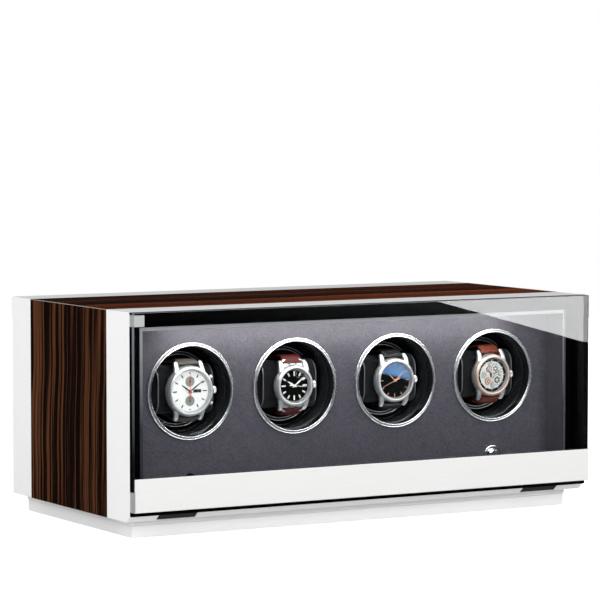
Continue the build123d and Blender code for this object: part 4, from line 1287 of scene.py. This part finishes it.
# ---- Studio ----
@dataclass
class Studio:
    """Pale floor, soft lights and the camera. Places are in metres in the cabinet's frame.

    Each lamp has its name, place, target, size and power. The dome's strength rises between two heights.
    """

    aim: Vector = field(default_factory=lambda: Vector((-0.07096, -0.1209, 0.1982)))
    heading: Vector = field(default_factory=lambda: Vector((0.4965, 0.8654, -0.0677)))
    distance: float = 2.7565
    lens_mm: float = 194.2
    ambient: float = 0.6
    dome: Range = (0.003, 0.8)
    dome_from: Range = (0.25, 0.6)
    floor_radius: float = 2.4
    lamps: tuple = (
        ("key", (-1.3, -1.2, 1.7), (0, 0, 0.1), (1.2, 1.2), 18),
        ("fill", (0.3, -2.1, 1.1), (0, 0, 0.1), (1.2, 0.8), 33),
        ("left", (-1.8, 0.3, 0.8), (-0.2, 0, 0.1), (1.0, 1.0), 13),
    )

    def make(self) -> None:
        """Builds the world, floor, lights and camera."""
        scene = bpy.context.scene
        scene.view_settings.view_transform = "Standard"
        self.world(scene)
        self.floor()
        self.camera(scene)
        for lamp in self.lamps:
            self.softbox(*lamp)
        self.strip_light()
        self.reflected_card()

    def world(self, scene: bpy.types.Scene) -> None:
        """White behind the object and soft all round it, but in reflections dark near the horizon.

        The pane and the lacquered sides mirror the horizon, so they stay dark, while the chrome's rolls
        still catch white from above and below.
        """
        world = bpy.data.worlds.new("studio")
        world.use_nodes = True
        world.cycles.sampling_method = "NONE"
        scene.world = world
        tree = world.node_tree
        rays = add_node(tree, "LightPath").outputs
        place = add_node(tree, "TexCoord").outputs["Generated"]
        upward = add_node(tree, "SeparateXYZ", {"Vector": place}).outputs["Z"]
        tall = add_node(tree, "Math", {0: upward}, operation="ABSOLUTE").outputs[0]
        dome = mapped(tree, tall, self.dome, self.dome_from)
        seen = add_node(tree, "Mix", {"Factor": rays["Is Glossy Ray"], "A": self.ambient, "B": dome}, data_type="FLOAT")
        sockets = {0: rays["Is Camera Ray"], 1: seen.outputs["Result"]}
        level = add_node(tree, "Math", sockets, operation="MAXIMUM")
        backdrop = tree.nodes["Background"].inputs
        tree.links.new(level.outputs[0], backdrop["Strength"])
        backdrop["Color"].default_value = (1, 1, 1, 1)

    def floor(self) -> None:
        """A white sweep that only the lens sees, and just under it a greyer disc that light bounces from."""
        white = Glow("white_sweep", "FFFFFF", 1.0, specular=0.0, strength=1.0, light="FFFFFF")
        grey = Finish("bounce_floor", "D8D8D8", 1.0, specular=0.0)
        turn = np.linspace(0, 2 * np.pi, 96, endpoint=False)
        across, ahead = self.floor_radius * np.cos(turn), self.floor_radius * np.sin(turn)
        for name, height, finish in (("sweep", 0.0, white), ("bounce", -0.0005, grey)):
            rim = np.stack([across, ahead, height + 0 * turn], axis=1)
            floor = self.flat(name, rim.tolist(), finish)
            floor.visible_glossy = False
            floor.visible_diffuse = name == "bounce"
            floor.visible_camera = name == "sweep"

    def flat(self, name: str, corners: Sequence, finish: Finish) -> bpy.types.Object:
        """Adds one flat face of the studio, which casts no shadow and isn't part of the object."""
        mesh = bpy.data.meshes.new(name)
        mesh.from_pydata(corners, [], [list(range(len(corners)))])
        mesh.materials.append(finish.material())
        made = add_object(name, mesh)
        made.visible_shadow = False
        return made

    def softbox(self, name: str, place: Sequence, target: Sequence, size: Sequence, power: float) -> bpy.types.Light:
        """Adds a rectangular area light of that size in metres and power in watts, turned to target."""
        light = bpy.data.lights.new(name, "AREA")
        light.shape = "RECTANGLE"
        light.size, light.size_y = size
        light.energy = power
        made = add_object(name, light)
        made.location = place
        made.rotation_euler = (Vector(target) - Vector(place)).to_track_quat("-Z", "Y").to_euler()
        return light

    def strip_light(self) -> None:
        """The cabinet's own light, a strip just under the diffuser that washes down over the panel."""
        place, (long, _, _) = middle_of("led_diffuser"), half_size("led_diffuser")
        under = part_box("led_diffuser")[0][2] - 0.0004
        middle = Vector((place[0] - 0.008, place[1], under))
        ahead = middle + Vector((0, 1.0, -0.06))
        lamp = self.softbox("cabinet_light", middle, ahead, (2 * long * MM - 0.06, 0.006), 0.31)
        lamp.color = (1.0, 1.0, 0.92)

    def reflected_card(self) -> None:
        """A bright card low at the front right, seen only as the sheen across the glass's upper right corner."""
        corners = [(0.683, -1.418, 0.143), (1.175, -1.328, 0.003), (1.175, -1.328, 0.9), (0.683, -1.418, 0.9)]
        glow = Glow("card_glow", "FFFFFF", 1.0, strength=5.8, light="FFFFFF")
        card = self.flat("card", corners, glow)
        card.visible_camera = False
        card.visible_diffuse = False

    def camera(self, scene: bpy.types.Scene) -> None:
        """A long lens, level with the cabinet's top, from the front left."""
        data = bpy.data.cameras.new("camera")
        data.lens = self.lens_mm
        data.sensor_width = 36.0
        data.clip_end = 50.0
        made = add_object("camera", data)
        heading = self.heading.normalized()
        made.location = self.aim - heading * self.distance
        made.rotation_euler = heading.to_track_quat("-Z", "Y").to_euler()
        scene.camera = made


def main() -> None:
    """Makes everything in order."""
    logging.basicConfig(level=logging.INFO, format="%(message)s")
    Cabinet().make()
    Door().make()
    for number in MODULES:
        Module(number).make()
    Controls().make()
    form = None
    for number in MODULES:
        form = Cushion(number).make(form, Seat(*middle_of(f"cushion_{number}")))
    for watch in watches():
        watch.make()
    Studio().make()


if __name__ == "__main__":
    main()
